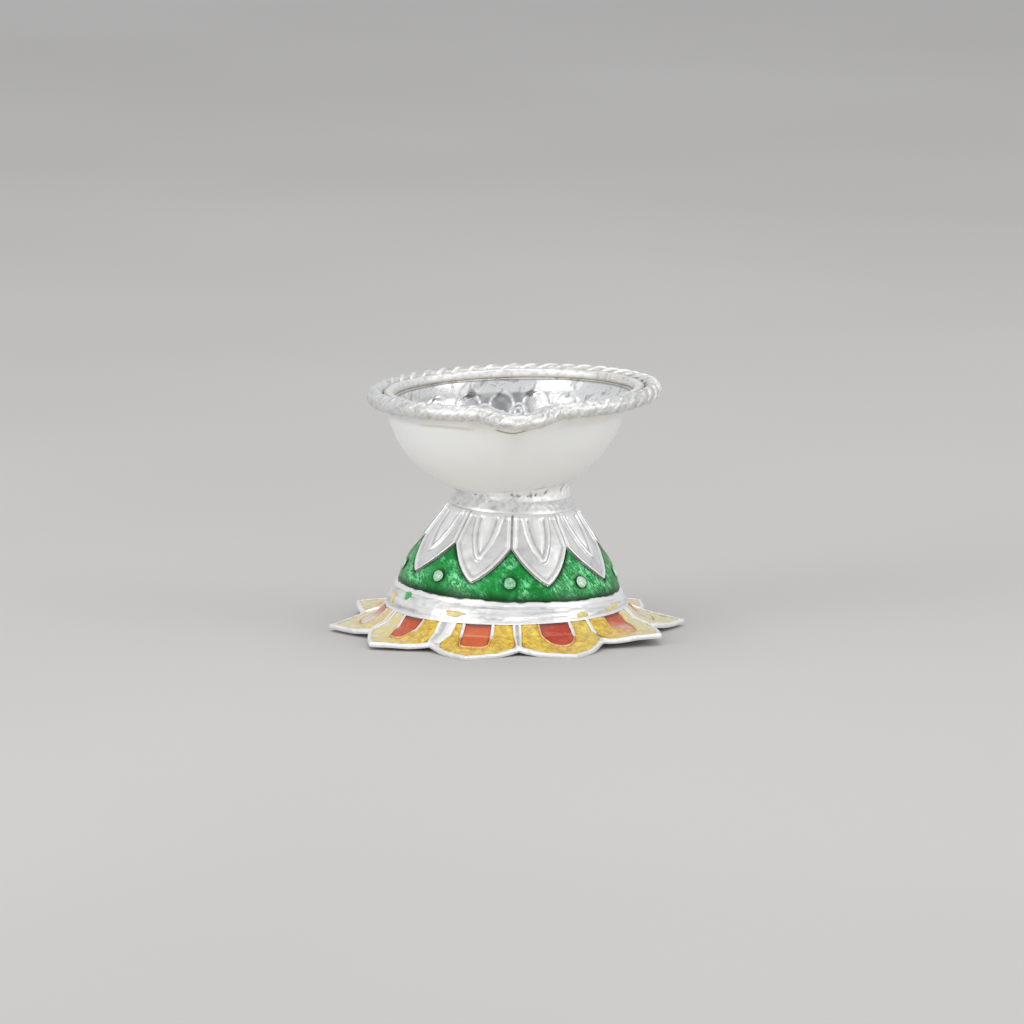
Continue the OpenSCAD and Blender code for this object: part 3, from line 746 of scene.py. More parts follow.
def make_pedestal(silver):
    a, across = petal_columns(STAND_COLUMNS)
    n = len(a)
    columns, side = a[None, :], across[None, :]
    low = np.minimum(1, np.abs(side))
    z_rows, depth_rows, grey_rows, bright_rows = [], [], [], []

    def add_rows(z, depth, grey=0.0, bright=0.0):
        z = np.broadcast_to(z, (np.shape(z)[0], n)) if np.ndim(z) == 2 else np.full((1, n), float(z))
        for rows, value in ((z_rows, z), (depth_rows, depth), (grey_rows, grey), (bright_rows, bright)):
            rows.append(np.broadcast_to(value, z.shape))

    collar_z = np.linspace(20.3, 18.1, 12)[:, None]
    collar = polar(stand_r(collar_z), columns, collar_z)
    lumps = 0.05 * grain(collar, 0.9, 41) + 0.05 * grain(collar, 2.5, 42) + 0.06 * grain(collar, 0.45, 58)
    add_rows(collar_z, -lumps, 0.22 + 0.3 * specks(collar, 1.0, 43) + 0.35 * specks(collar, 0.4, 59, 1.5))
    groove_z = np.array([17.92, 17.80, 17.70, 17.60])[:, None]
    notch = 0.4 + 0.6 * smooth(grain(polar(10, columns, 0), 4.0, 44) + 0.5)
    # grey in the groove under the collar: painted shade
    add_rows(groove_z, np.array([0.02, 0.12, 0.14, 0.04])[:, None] * notch,
             np.array([0.1, 0.6, 0.7, 0.1])[:, None] * notch)
    u = np.linspace(0, 1, 72)[:, None]
    z = mix(PETAL_TOP_Z, zigzag(low), 1 - (1 - u) ** 1.6)
    height, grey, bright = petal_relief(side, z)
    place = polar(stand_r(z), columns, z)
    lip = 0.10 * bump01(z - (PETAL_TOP_Z - 0.22), 0.16) * smooth((1 - low) / 0.05)
    hand = 0.03 * grain(place, 1.0, 45) + 0.05 * grain(place, 3.0, 46)
    add_rows(z, -(height + lip + hand), clamp01(grey + 0.25 * grain(place, 1.2, 53)),
             clamp01(bright * (0.85 + 0.3 * grain(place, 1.6, 54))))
    edge_z = zigzag(low) - GAP
    for share in (0.0, 0.35, 0.7, 1.0):
        add_rows(mix(edge_z, GREEN_FOOT_Z + GAP, share), RELIEF, 0.6)
    ragged = 0.10 * grain(polar(16, columns, 0), 0.9, 47) + 0.12 * grain(polar(16, columns, 0), 2.6, 48)
    for down, depth in ((0.02, 0.26), (-0.03, 0.05), (0.05, -0.09), (0.24, -0.10), (0.42, -0.02)):
        # painted highlight along the band's top lip below the green
        add_rows(np.full((1, n), GREEN_FOOT_Z - down) + ragged, depth, 0.0, 0.9)
    band_z = np.linspace(GREEN_FOOT_Z - 0.56, SEAM_Z + 0.55, 20)[:, None]
    band = polar(stand_r(band_z), columns, band_z)
    marks = grain(polar(5.7, columns, band_z * 3.2), 1.0, 49)
    scratch = grain(polar(12.6, columns, band_z * 6.0), 1.0, 55)
    add_rows(band_z, -(0.06 * marks + 0.06 * grain(band, 3.0, 50) + 0.03 * grain(band, 0.6, 51)),
             0.6 * specks(polar(6.9, columns, band_z * 2.5), 1.0, 52, 1.4) + 0.45 * clamp01(-marks)
             + 0.5 * clamp01(2 * scratch - 0.6), 0.7 * clamp01(marks))
    # painted highlight on the band's rolled lower edge
    for z0, depth in ((4.02, 0.0), (3.92, -0.06), (3.80, -0.12), (3.68, -0.10), (3.60, -0.01), (3.60, 0.3)):
        add_rows(z0, depth, 0.0, 0.6 * (depth < 0))
    for z0 in (3.60, 4.8, 6.4, 8.4, 11, 14.1, 17):
        add_rows(z0, RELIEF + STAND_SHEET, 0.4)
    z, depth = np.concatenate(z_rows), np.concatenate(depth_rows)
    rows = lean_stand(polar(stand_r(z) - depth, spread(columns, z), z))

    def collar_ring(r):
        q = lean_stand(polar(r, a, COLLAR_TOP_Z))
        return stack(q[:, 0], q[:, 1], bowl_under(q[:, 0], q[:, 1]) - GAP)[None]

    rows = np.concatenate([collar_ring(COLLAR_R), rows, collar_ring(COLLAR_R - STAND_SHEET)])
    blank = np.zeros((1, n))
    grey = np.concatenate([blank, *grey_rows, blank])
    bright = np.concatenate([blank, *bright_rows, blank])
    Shape().hoop(rows, low=clamp01(grey), high=clamp01(bright)).make(
        "stand_stamped", silver, "silver_stand", "pedestal")


def make_green_enamel(material):
    a, across = petal_columns(STAND_COLUMNS)
    columns, low = a[None, :], np.abs(across)[None, :]
    edge_z = zigzag(low) - 0.10
    foot_z = GREEN_FOOT_Z + 0.06 + 0 * low
    u = np.linspace(0, 1, 44)[:, None]
    z = mix(edge_z, foot_z, 0.5 - 0.5 * np.cos(math.pi * u))
    px, py = low * HALF_ANGLE * stand_r(z), z * SLANT
    from_petal = distance_to(px, py, petal_outline())
    from_foot = (z - GREEN_FOOT_Z) * SLANT
    place = polar(stand_r(z), columns, z)
    depth = (0.02 + 0.22 * np.exp(-from_petal / 0.20) + 0.12 * np.exp(-from_foot / 0.16)
             - 0.03 * grain(place, 2.2, 61) - 0.015 * grain(place, 0.8, 62))
    dot_side = (1 - low) * HALF_ANGLE * stand_r(z)
    from_dot = np.hypot(dot_side, (z - DOT_Z) * SLANT) - DOT_R
    depth = depth + 0.08 * np.exp(-np.maximum(from_dot, 0) / 0.2)
    uneven = 1 + 0.35 * grain(place, 1.6, 63)
    shade = clamp01(0.95 * np.exp(-(from_petal / (0.45 * uneven)) ** 2)
                    + np.exp(-(from_foot / (1.15 * uneven)) ** 2)
                    + 0.85 * np.exp(-(np.maximum(from_dot, 0) / 0.45) ** 2))
    turn = wrapped(columns)
    fleck = 0.0
    bright_spots = [(1, -27, 9, 9.2, 2.2), (1, 47, 15, 9.5, 3.0), (0.7, -62, 12, 8.5, 2.0)]
    for share, at, wide, level, high in bright_spots:
        fleck = np.maximum(fleck, share * bump01(turn - at, wide) * bump01(z - level, high))
    outer = lean_stand(polar(stand_r(z) - depth, spread(columns, z), z))
    back_z = mix(edge_z, foot_z, np.array([1.0, 0.66, 0.33, 0.0])[:, None])
    back = lean_stand(polar(stand_r(back_z) - (RELIEF - GAP), spread(columns, back_z), back_z))
    shade = np.concatenate([shade, np.ones(back_z.shape)])
    fleck = np.concatenate([fleck, np.zeros(back_z.shape)])
    Shape().hoop(np.concatenate([outer, back]), shade=shade, fleck=fleck).make(
        "green_enamel_fill", material, "enamel_green", "green_enamel")


def make_dots():
    """A soldered granule on the green enamel between each pair of petals, glazed a little green."""
    outline = [(1.0, -0.08), (1.03, 0.10), (0.97, 0.42), (0.84, 0.72), (0.62, 0.93), (0.34, 1.03),
               (0.12, 1.05)]
    z = DOT_Z
    tilt = math.atan((stand_r(z - 1) - stand_r(z + 1)) / 2)
    glaze = [0.45, 0.5, 0.6, 0.5, 0.7, 0.5, 0.6, 0.7, 1.0]
    p = Paint("dot_glazed_silver", Metallic=0.2, Coat_Weight=0.3, Coat_Roughness=0.1)
    mottle = p.noise(3.2, 4, 0.6)
    green = p.blend(p.ramp(mottle, 0.4, 0.65), (0.16, 0.52, 0.26), (0.42, 0.74, 0.50))
    white = p.blend(p.ramp(mottle, 0.4, 0.65), (0.80, 0.86, 0.76), (0.92, 0.94, 0.88))
    colour = p.blend(p.value("glaze"), white, green)
    p.dent(mottle, 0.4, 0.08)
    material = p.finish(Base_Color=colour, Roughness=p.ramp(mottle, 0.3, 0.7, 0.22, 0.38))
    for i in range(STAND_PETALS):
        a = float(spread(STAND_TURN + (i + 0.5) * STAND_STEP, z))
        base = lean_stand(polar(stand_r(z) + 2 * GAP, np.array([a]), np.array([z])))[0]
        out = polar(math.cos(tilt), a, math.sin(tilt))
        up = polar(-math.sin(tilt), a, math.cos(tilt))
        across = np.cross(up, out)
        turn = 360 * np.arange(32) / 32
        rows = [base + out * h * DOT_H + r * DOT_R * (1 + 0.04 * cos_d(3 * turn + 50 * i))[:, None]
                * (cos_d(turn)[:, None] * across + sin_d(turn)[:, None] * up) for r, h in outline]
        Shape().capped(rows, glaze=glaze[i]).make(
            f"dot_granule_{i + 1}", material, "silver_rim", f"dot_{i + 1}")


def make_neck_solder(material):
    n = 900
    a = 360 * np.arange(n) / n
    high, low = 16, 4
    u = np.linspace(0, 1, high)[:, None]
    foot = lean_stand(polar(COLLAR_R, a, SOLDER_FOOT_Z))[:, 2]
    right = 0.5 + 0.5 * cos_d(a - 35)
    wave = 0.10 * sin_d(5 * a) + 0.08 * sin_d(9 * a + 40) + 0.05 * sin_d(17 * a)
    off = 0.05 + 0.10 * u + 1.15 * u ** 4 + 0.05 * np.sin(math.pi * u) * (1 + wave / 0.2)
    place = polar(COLLAR_R + 0 * u, a[None, :], 19.3 + 1.2 * u)
    off = off + np.sin(math.pi * np.clip(u, 0.02, 0.98)) * (
        0.09 * grain(place, 0.75, 71) + 0.07 * grain(place, 0.4, 72)
        + right * 0.24 * clamp01(grain(place, 1.1, 73) + 0.1))
    # pits along the middle of the seam
    pits = np.zeros((high, n))
    rng = np.random.default_rng(7)
    for centre in np.sort(rng.uniform(0, 360, 60)):
        reach, level = rng.uniform(0.12, 0.30), rng.uniform(0.55, 0.85)
        away = np.hypot(wrapped(a[None, :] - centre) * COLLAR_R * math.pi / 180, (u - level) * 1.3)
        pits = np.maximum(pits, smooth((reach - away) / 0.16))
    off = off - 0.20 * pits
    off = np.maximum(off, 0.03)

    def ring(off_row, share):
        q = lean_stand(polar(COLLAR_R + off_row, a, COLLAR_TOP_Z))
        top = bowl_under(q[:, 0], q[:, 1]) - 0.01
        return stack(q[:, 0], q[:, 1], mix(foot, top, share))

    flare = stand_r(np.array(SOLDER_FOOT_Z)) - COLLAR_R
    rows = [ring(off[i] + flare * (1 - u[i, 0]) ** 2, u[i, 0]) for i in range(high)]
    rows += [ring(np.full(n, -0.12), s) for s in np.linspace(1, 0, low)]
    # darker in the pits
    dirt = np.concatenate([0.9 * pits, np.zeros((low, n))])
    # high: painted highlights on the lumps at the right of the seam
    high = np.concatenate([right * clamp01(0.2 + grain(place, 1.1, 73)), np.zeros((low, n))])
    Shape().hoop(rows, dirt=clamp01(dirt), high=clamp01(high)).make(
        "neck_solder_seam", material, "solder", "neck_solder")


# ---- foot ----

def tip_lift(k):
    return TIP_LIFTS[np.mod(k, FOOT_PETALS)]


def bend(a):
    u = a / FOOT_STEP
    k = np.floor(u).astype(int)
    d = 2 * (u - k) - 1
    side = np.where(d < 0, -1, 1)
    share = smooth((np.abs(d) - 0.3) / 0.7) / 2
    return mix(tip_lift(k), tip_lift(k + side), share)


def foot_top(r, a):
    lift = bend(a) * clamp01((r - CREASE_R) / (FLAT_R - CREASE_R))
    return np.interp(r, FOOT_PROFILE[:, 0], FOOT_PROFILE[:, 1]) + lift


def foot_edge(a):
    half = FOOT_STEP / 2
    d = np.abs(a - FOOT_STEP * (np.floor(a / FOOT_STEP) + 0.5))
    return (FOOT_TIP_R * FOOT_NOTCH_R * sin_d(half) / (FOOT_TIP_R * sin_d(d) + FOOT_NOTCH_R * sin_d(half - d))
            + 0.35 * sin_d(180 * d / half))


def on_foot(x, y, drop):
    """A point of the foot's upper face, sunk by drop."""
    r, a = np.hypot(x, y), np.degrees(np.arctan2(x, -y))
    return stack(x, y, foot_top(r, a) - drop)


def in_petal(k, r, side):
    """The place of petal k at a radius, side from its middle line. k counts from 1."""
    a = (k - 0.5) * FOOT_STEP + np.degrees(np.arcsin(np.clip(side / r, -1, 1)))
    return r * sin_d(a), -r * cos_d(a)


def make_foot_sheet(silver):
    n = 900
    a = (360 * np.arange(n) / n)[None, :]
    edge = foot_edge(a) - 0.12

    def row(r, drop):
        r = np.broadcast_to(r, (1, n))
        q = polar(r, a, 0)
        return polar(r, a, foot_top(r, a) - drop + 0.03 * grain(q, 1.6, 81) * (drop < 0.5))

    rows = [row(r, CELL_DEPTH) for r in (FOOT_HOLE_R, 16.0, 16.6, 17.0, 17.5, 18.0, CREASE_R)]
    rows += [row(mix(CREASE_R, edge, s), CELL_DEPTH) for s in np.linspace(0.06, 1, 16)]
    rows += [row(mix(CREASE_R, edge, s), FOOT_SHEET - 0.01) for s in (1.0, 0.76, 0.4, 0.15)]
    rows += [row(r, FOOT_SHEET - 0.01) for r in (CREASE_R, 17.5, SEAM_R, 16.0, FOOT_HOLE_R)]
    Shape().hoop(np.concatenate(rows), low=0.3).make(
        "foot_sheet", silver, "silver_foot", "flange", turn=FOOT_TURN)


def make_foot_border(silver):
    """The raised border along the edge of the petals, as one rounded bead."""
    n_side = 40
    u = np.linspace(0, 1, n_side, endpoint=False)
    one = np.concatenate([0.5 * u ** 1.2, 1 - 0.5 * (1 - u) ** 1.2])
    a = np.concatenate([(k + one) * FOOT_STEP for k in range(FOOT_PETALS)])[None, :]
    section = np.array([
        (0.74, 0.40), (0.74, 0.22), (0.69, 0.08), (0.58, 0.0), (0.40, -0.04), (0.22, -0.03), (0.08, 0.04),
        (0.01, 0.16), (0.0, 0.34), (0.02, 0.54), (0.08, 0.63), (0.30, 0.65), (0.60, 0.65)])
    inset, drop = section[:, 0][:, None], section[:, 1][:, None]
    r = foot_edge(a) - inset
    place = polar(r, a, 0)
    wave = 0.06 * grain(place, 1.3, 91) + 0.06 * grain(place, 0.5, 92)
    upper = drop < 0.3
    rows = polar(r + wave * (inset < 0.3), a, foot_top(r, a) - drop + wave * upper)
    # grey: random specks, and painted shade on the underside
    low = 0.3 * specks(place, 1.5, 93) + 0.25 * specks(place, 0.45, 98, 2) + 0.4 * (drop > 0.55)
    # darker inner wall towards the enamel: painted shade, with specks of dirt
    dirt = 0.3 * (inset > 0.6) + 0.25 * specks(place, 1.1, 94) * (inset > 0.5) + 0.12 * specks(place, 2.4, 99)
    # painted highlight along the top of the bead
    high = clamp01(0.45 + bump01(drop, 0.25)) * (0.8 + 0.3 * grain(place, 1.8, 96))
    Shape().hoop(rows, low=clamp01(low), dirt=clamp01(dirt), high=clamp01(high)).make(
        "foot_border", silver, "silver_foot", "flange", turn=FOOT_TURN)


# How far each rib reaches to the left and right of its middle line, at the root
RIB_REACH = {k: (-0.62, 0.62) for k in range(FOOT_PETALS)}
RIB_REACH[9] = (-0.70, 2.25)
RIB_REACH[1] = (-0.32, 0.32)
RIB_REACH[8] = (-0.60, 0.75)


def rib_taper(r):
    return 1 - 0.35 * smooth((r - 17.5) / 3)


def make_foot_ribs(silver):
    """A rib between each pair of petals: a strip with a bead along each side. One is wide, one is a bar."""
    shape = Shape()
    half = [(-1.0, 0.32), (-0.98, 0.06), (-0.88, -0.06), (-0.70, -0.10), (-0.50, -0.07), (-0.36, 0.04),
            (-0.22, 0.14)]
    twin = half + [(0.0, 0.17)] + [(-x, drop) for x, drop in half[::-1]]
    wide = [(-1.0, 0.32), (-0.98, 0.05), (-0.93, -0.06), (-0.84, -0.10), (-0.75, -0.07), (-0.68, 0.00),
            (-0.60, 0.06), (-0.25, 0.07), (-0.05, 0.05), (0.10, -0.04), (0.45, -0.09), (0.75, -0.08),
            (0.90, -0.04), (0.98, 0.06), (1.0, 0.32)]
    bar = [(x, 0.32 if abs(x) == 1 else -0.08 + 0.14 * abs(x) ** 3) for x, _ in twin]
    for k in range(FOOT_PETALS):
        left, right = RIB_REACH[k]
        profile = wide if right > 2 else bar if right < 0.4 else twin
        end = 0.62 if profile is bar else 1.0
        rows, low, high = [], [], []
        for s in np.linspace(0, 1, 28):
            r = mix(SEAM_R - 0.05, FOOT_NOTCH_R - 0.45, s * end)
            sink = 0.25 * smooth((s - 0.85) / 0.15) if profile is bar else 0.0
            top = np.array(profile)
            across = np.where(top[:, 0] < 0, -left * top[:, 0], right * top[:, 0])
            if profile is wide:
                across = mix(left, right, (top[:, 0] + 1) / 2)
            across = across * rib_taper(r)
            drop = top[:, 1] + sink
            ring = np.stack([np.append(across, across[[-1, 0]]), np.append(drop, [0.55, 0.55])], -1)
            along = k * FOOT_STEP + np.degrees(np.arcsin(ring[:, 0] / r))
            rows.append(on_foot(r * sin_d(along), -r * cos_d(along), ring[:, 1]))
            # grey in the channel between the beads: painted shade
            low.append(smooth((ring[:, 1] - 0.0) / 0.10) * (1 - 0.5 * s))
            # painted highlight on the bead tops
            high.append(1 - smooth((ring[:, 1] + 0.05) / 0.08))
        rows = np.array(rows)
        rows[..., 2] += 0.03 * grain(rows, 0.7, 95)
        shape.capped(rows, low=np.array(low), high=np.array(high))
    shape.make("foot_ribs", silver, "silver_foot", "flange", turn=FOOT_TURN)


# The outline of each red cell: where its rounded end starts, and the powers of its curve across and along
BOX, ROUND = (19.5, 0.55, 0.6), (17.7, 0.95, 0.95)
CELLS = {k: BOX for k in range(1, FOOT_PETALS + 1)}
CELLS[1] = CELLS[2] = ROUND
CELL_HALF = {k: RED_W / 2 for k in CELLS}
CELL_HALF[1] = 2.25
CELL_TAPER = {9: 0.4, 10: 0.04}


def cell_taper(k, r):
    """How much narrower a red cell gets from its root to a radius."""
    flared = 0.95 + 0.05 * smooth((r - SEAM_R) / 1.3)
    return (1 - CELL_TAPER.get(k, 0.0) * smooth((r - SEAM_R) / 3.5)) * flared


def cell_share(k, r, depth):
    """Share of a red cell's half width at a radius."""
    start, across, along = CELLS[k]
    x = clamp01((r - start) / (CELL_END_R + depth - start))
    return cell_taper(k, r) * np.maximum(1e-4, 1 - x ** (2 / along)) ** (across / 2)


def u_path(k, half, depth, n=64):
    """The U round a red cell: down one side, round the end and up the other side."""
    start, across, along = CELLS[k]
    count = max(3, int(14 * (start - SEAM_R) / 2.05))
    sides = [(r, half * cell_taper(k, r)) for r in np.linspace(SEAM_R + 0.1, start, count)]
    end = []
    for t in np.linspace(-90, 90, n - 2 * count)[1:-1]:
        r = start + (CELL_END_R + depth - start) * cos_d(t) ** along
        end.append((r, math.copysign(half * cell_taper(k, r) * abs(sin_d(t)) ** across, t)))
    line = [(r, -s) for r, s in sides] + end + [(r, s) for r, s in sides[::-1]]
    r, s = np.array(line).T
    return np.stack(in_petal(k, r, s), -1)


# How thick and bright the wall stands at the left and the right of each red cell
WALL_BARS = {k: (0.5, 0.5) for k in range(1, FOOT_PETALS + 1)}
WALL_BARS.update({10: (0.9, 0.9), 1: (0.25, 1.0), 9: (1.0, 0.6), 2: (0.1, 0.0), 3: (0.1, 0.2), 8: (0.3, 0.6)})


def make_cell_walls(material):
    """The thin wall between the red and the yellow enamel, raised in one line."""
    shape = Shape()
    for k in range(1, FOOT_PETALS + 1):
        line = u_path(k, CELL_HALF[k] + CELL_WALL / 2, WALL_REACH)
        step = np.gradient(line, axis=0)
        side = np.stack([step[:, 1], -step[:, 0]], -1)
        side /= np.linalg.norm(side, axis=1, keepdims=True)
        m = len(line)
        radius = np.hypot(*line.T)
        left, right = WALL_BARS[k]
        bars = np.where(np.arange(m) < m / 2, left, right)
        root = 1 - smooth((radius - 18.5) / 0.6)
        bar = bars * root
        faint = 0.14 if k in (3, 8) else 0.0
        half = mix(0.075, 0.27, bar)
        left_side = [(-1.1, 0.34), (-1.0, 0.10), (-0.7, 0.0), (-0.25, -0.05)]
        section = left_side + [(-x, drop) for x, drop in left_side[::-1]]
        rows = []
        for x, drop in section:
            q = line + side * (x * half)[:, None]
            rows.append(on_foot(q[:, 0], q[:, 1], drop + (0.04 + faint) * (1 - bar)))
        rows = np.array(rows).transpose(1, 0, 2)
        rows[..., 2] += 0.02 * grain(rows, 0.6, 97)
        shape.capped(rows, tint=np.repeat((1 - bar)[:, None], len(section), 1))
    p = Paint("cell_wall_silver", Coat_Weight=0.3, Coat_Roughness=0.15)
    mottle = p.noise(2.5, 4, 0.6)
    metal = p.blend(p.ramp(mottle, 0.4, 0.7), (0.96, 0.955, 0.93), (0.82, 0.81, 0.76))
    film = p.blend(p.ramp(mottle, 0.4, 0.65), (0.84, 0.36, 0.08), (0.90, 0.58, 0.24))
    tint = p.ramp(p.value("tint"), 0.25, 0.85, 0.0, 0.9)
    material = p.finish(Base_Color=p.blend(tint, metal, film), Roughness=p.ramp(mottle, 0.3, 0.7, 0.25, 0.42),
                        Metallic=p.ramp(tint, 0, 0.9, 0.75, 0.2))
    shape.make("foot_cell_walls", material, "silver_foot", "flange", turn=FOOT_TURN)


def enamel_pad(shape, xy, level, **values):
    """A closed pad of enamel over a grid of places, with its surface sunk by level."""
    x, y = xy[..., 0], xy[..., 1]

    def both_faces(front, back):
        front, back = (np.broadcast_to(v, x.shape + np.shape(v)[2:]) for v in (front, back))
        return np.concatenate([front, back[:, ::-1]], axis=1)

    shape.capped(both_faces(on_foot(x, y, level), on_foot(x, y, ENAMEL_BACK + 0 * x)),
                 **{key: both_faces(v, v) for key, v in values.items()})


def make_red_enamel(material):
    tones = {10: 0.1, 1: 0.9, 9: 0.45, 2: 0.4}
    lines = {10: 1.0, 1: 0.35, 9: 0.1, 2: 0.1}
    fades = {8: 0.95, 3: 0.95, 2: 0.45, 7: 0.5, 4: 0.5}
    for k in range(1, FOOT_PETALS + 1):
        half = CELL_HALF[k]
        start = CELLS[k][0]
        deep = CELL_END_R + RED_REACH - start
        round_end = start + deep * sin_d(np.linspace(4, 88, 24))
        r = np.concatenate([np.linspace(SEAM_R + 0.12, start, 18), round_end])
        share = cell_share(k, r, RED_REACH)
        u = np.linspace(-1, 1, 25)
        side = share[:, None] * half * u[None, :]
        x, y = in_petal(k, r[:, None] + 0 * side, side)
        xy = np.stack([x, y], -1)
        from_side = (1 - np.abs(u))[None, :] * share[:, None] * half
        from_end = np.minimum(r - SEAM_R - 0.1, CELL_END_R + RED_REACH + 0.02 - r)[:, None]
        wall = np.minimum(from_side, np.maximum(from_end, 0))
        crease = lines.get(k, 0.3) * bump01(r - CREASE_LINE_R, 0.10)[:, None] * smooth(from_side / 0.3)
        level = 0.10 - 0.05 * smooth(wall / 0.6) - 0.06 * crease + 0.02 * grain(stack(x, y, 0), 0.9, 101 + k)
        shade = 0.75 * np.exp(-(wall / 0.20) ** 2) + 0.45 * bump01(r - SEAM_R - 0.2, 0.35)[:, None]
        fade = fades.get(k, 0.0) * smooth((r[:, None] - 17.6 - 0.25 * side * (1 if k < 6 else -1)) / 1.6)
        shape = Shape()
        # glow: painted highlight along the crease
        enamel_pad(shape, xy, level, tone=tones.get(k, 0.5), shade=clamp01(shade) * (1 - fade),
              glow=0.8 * crease, fade=fade)
        shape.make(f"red_enamel_fill_{k}", material, "enamel_red", f"red_enamel_{k}", turn=FOOT_TURN)


def make_yellow_enamel(material):
    # how pale each petal's enamel is at its left, at its right and towards its tip
    fades = {10: (0.0, 0.0, 0.0), 1: (0.0, 0.1, 0.0), 9: (0.75, 0.0, 0.15), 2: (0.0, 0.75, 0.35),
             8: (0.6, 0.35, 0.75), 3: (0.6, 0.7, 0.75)}
    for k in range(1, FOOT_PETALS + 1):
        mid = (k - 0.5) * FOOT_STEP
        inner = u_path(k, CELL_HALF[k] + CELL_WALL - 0.04, YELLOW_REACH, 90)
        reach = (-RIB_REACH[k - 1][1], -RIB_REACH[k % FOOT_PETALS][0])

        def limit(side, r):
            """The angle from the petal's middle line to its rib's side."""
            rib = abs(reach[0] if side < 0 else reach[1]) * rib_taper(r) - 0.08
            return FOOT_STEP / 2 - np.degrees(np.arcsin(rib / r))

        r_in = np.hypot(*inner.T)
        off = np.degrees(np.arctan2(inner[:, 0], -inner[:, 1])) - mid
        off = off - 360 * np.round(off / 360)
        outer = []
        share = clamp01((r_in - 18.6) / (r_in.max() - 18.6))
        for r, o, t in zip(r_in, off, share):
            side = -1 if o < 0 else 1
            end_limit = float(limit(side, 20.0))
            along = side * mix(end_limit, 0.0, float(t) ** 1.5)
            edge = float(foot_edge(np.array(mid + along))) - BORDER_W + 0.1
            if t <= 0:
                outer.append((r, mid + side * float(limit(side, r))))
            else:
                start_r = mix(r, edge, min(1.0, float(t) * 5) ** 0.7)
                outer.append((start_r, mid + along))
        r, a = np.array(outer).T
        outer_xy = np.stack([r * sin_d(a), -r * cos_d(a)], -1)
        u = np.linspace(0, 1, 15)
        xy = inner[:, None, :] + (outer_xy - inner)[:, None, :] * u[None, :, None]
        width = np.linalg.norm(outer_xy - inner, axis=1)[:, None]
        wall = np.minimum(u[None, :], 1 - u[None, :]) * width
        # lit: a painted highlight along the middle of the strip, added to fade
        lit = bump01(u[None, :] - 0.45, 0.3)
        place = stack(xy[..., 0], xy[..., 1], 0)
        level = 0.12 - 0.06 * smooth(wall / 0.6) + 0.03 * grain(place, 1.1, 121 + k)
        shade = 0.9 * np.exp(-(wall / 0.16) ** 2) * (0.5 + 0.5 * smooth(grain(place, 1.5, 131) + 0.6))
        shade = shade + 0.22 * smooth(grain(place, 1.3, 132) * 1.6)
        radius = np.hypot(xy[..., 0], xy[..., 1])
        left, right, tip = fades.get(k, (0.4, 0.4, 0.6))
        side = (off / 12)[:, None]
        fade = np.maximum(left * smooth(-side * 2), right * smooth(side * 2))
        fade = np.maximum(fade, tip * smooth((radius - 19.8) / 2.5))
        shape = Shape()
        enamel_pad(shape, xy, level, shade=clamp01(shade) * (1 - 0.6 * fade), fade=clamp01(fade + 0.12 * lit))
        shape.make(f"yellow_enamel_fill_{k}", material, "enamel_yellow", f"yellow_enamel_{k}", turn=FOOT_TURN)


def make_spills(yellow, green):
    """Small spots of enamel that ran onto the band below the green."""
    spots = {
        "yellow": [(-76.0, 5.0, 0.66, 0.55), (-28.5, 4.75, 1.35, 0.36), (55.0, 4.6, 0.95, 0.36),
                   (60.5, 5.0, 0.7, 0.34), (35.5, 4.5, 0.95, 0.42), (150.0, 4.6, 0.5, 0.3)],
        "green": [(-62.0, 5.7, 0.66, 0.46), (200.0, 5.0, 0.4, 0.3)]}
    for colour, material in (("yellow", yellow), ("green", green)):
        shape = Shape()
        for i, (a0, z0, wide, high) in enumerate(spots[colour]):
            rows = []
            turn = 360 * np.arange(28) / 28
            ragged = 1 + 0.18 * sin_d(3 * turn + 40 * i) + 0.12 * sin_d(5 * turn + 90 * i)
            for share, lift in ((1.0, -0.12), (1.0, 0.10), (0.9, 0.125), (0.65, 0.14), (0.3, 0.15)):
                z = z0 + high * share * ragged * sin_d(turn)
                a = a0 + np.degrees(wide * share * ragged * cos_d(turn) / 16.4)
                rows.append(lean_stand(polar(stand_r(z) + lift, a, z)))
            shape.capped(np.array(rows), shade=0.0, fade=0.55, fleck=0.6)
        shape.make("enamel_spill_" + colour, material, "enamel_" + colour)


# ---- the object ----

rim_silver = bright_silver("rim_silver", 0.34, 3.4, 0.9, 0.9, 0.7)
foot_silver = bright_silver("foot_silver", 0.36, 2.2, 0.22, 0.85, 0.6)
solder = solder_silver()
green, yellow, red = green_glass(), yellow_glass(), red_glass()

make_bowl()
make_rim_band(rim_silver)
make_rope(rim_silver)
make_neck_solder(solder)
make_pedestal(bright_silver("stand_silver", 0.35, 2.2, 0.22, 0.75, 0.75))
make_green_enamel(green)
make_dots()
make_foot_sheet(foot_silver)
make_foot_border(foot_silver)
make_foot_ribs(foot_silver)
make_cell_walls(foot_silver)
make_red_enamel(red)
make_yellow_enamel(yellow)
make_spills(yellow, green)

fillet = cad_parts["foot_solder"]
fillet.data.materials.clear()
fillet.data.materials.append(solder)


# ---- floor, light and camera ----

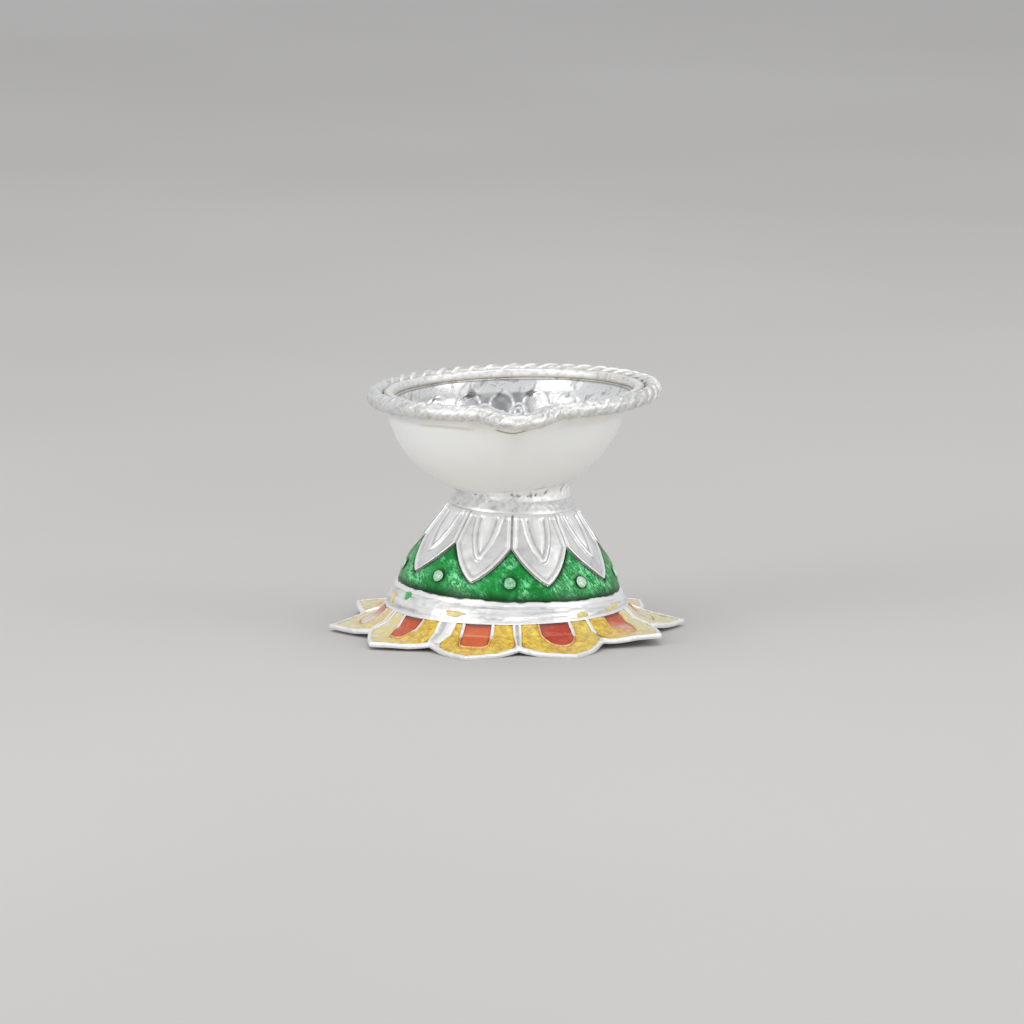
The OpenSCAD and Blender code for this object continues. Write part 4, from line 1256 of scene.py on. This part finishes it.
def studio_floor():
    p = Paint("floor_paper", Roughness=0.85)
    tone = p.noise(0.004, 2)
    colour = p.blend(p.ramp(tone, 0.3, 0.7), (0.56, 0.545, 0.53), (0.60, 0.585, 0.57))
    mesh = bpy.data.meshes.new("floor")
    size = 30.0
    corners = [(-size, -size, 0), (size, -size, 0), (size, size, 0), (-size, size, 0)]
    mesh.from_pydata(corners, [], [(0, 1, 2, 3)])
    mesh.materials.append(p.finish(Base_Color=colour))
    floor = bpy.data.objects.new("floor", mesh)
    bpy.context.scene.collection.objects.link(floor)


def look_at(obj, target):
    direction = Vector(target) - obj.location
    obj.rotation_euler = direction.to_track_quat("-Z", "Y").to_euler()


def softbox(name, place, target, width, height, power, colour=(1, 1, 1)):
    light = bpy.data.lights.new(name, "AREA")
    light.shape, light.size, light.size_y = "RECTANGLE", width, height
    light.energy, light.color = power, colour
    box = bpy.data.objects.new(name, light)
    box.location = place
    bpy.context.scene.collection.objects.link(box)
    look_at(box, target)


def studio():
    world = bpy.data.worlds.new("studio")
    bpy.context.scene.world = world
    world.use_nodes = True
    world.node_tree.nodes["Background"].inputs[0].default_value = (0.97, 0.98, 1.0, 1)
    world.node_tree.nodes["Background"].inputs[1].default_value = 0.68
    aim = (0, 0, 0.018)
    softbox("top_box", (0, 0.05, 0.55), aim, 0.5, 0.5, 0.8)
    softbox("left_box", (-0.45, -0.30, 0.22), aim, 0.25, 0.35, 0.8)
    softbox("right_box", (0.50, -0.25, 0.25), aim, 0.25, 0.35, 0.65)
    softbox("front_box", (0.05, -0.75, 0.03), aim, 0.6, 0.12, 1.05)


def camera():
    reach, height, azimuth = 0.986, 0.1831, math.radians(-2.7)
    right = Vector((math.cos(azimuth), math.sin(azimuth), 0))
    back = Vector((math.sin(azimuth), -math.cos(azimuth), 0))
    aim = right * 0.00072 + Vector((0, 0, 0.01655))
    data = bpy.data.cameras.new("camera")
    data.lens, data.sensor_width = 251.5, 36
    data.clip_start, data.clip_end = 0.01, 20
    eye = bpy.data.objects.new("camera", data)
    eye.location = aim + back * reach + Vector((0, 0, height - aim.z))
    bpy.context.scene.collection.objects.link(eye)
    look_at(eye, aim)
    bpy.context.scene.camera = eye


studio_floor()
studio()
camera()
bpy.context.scene.view_settings.view_transform = "Standard"
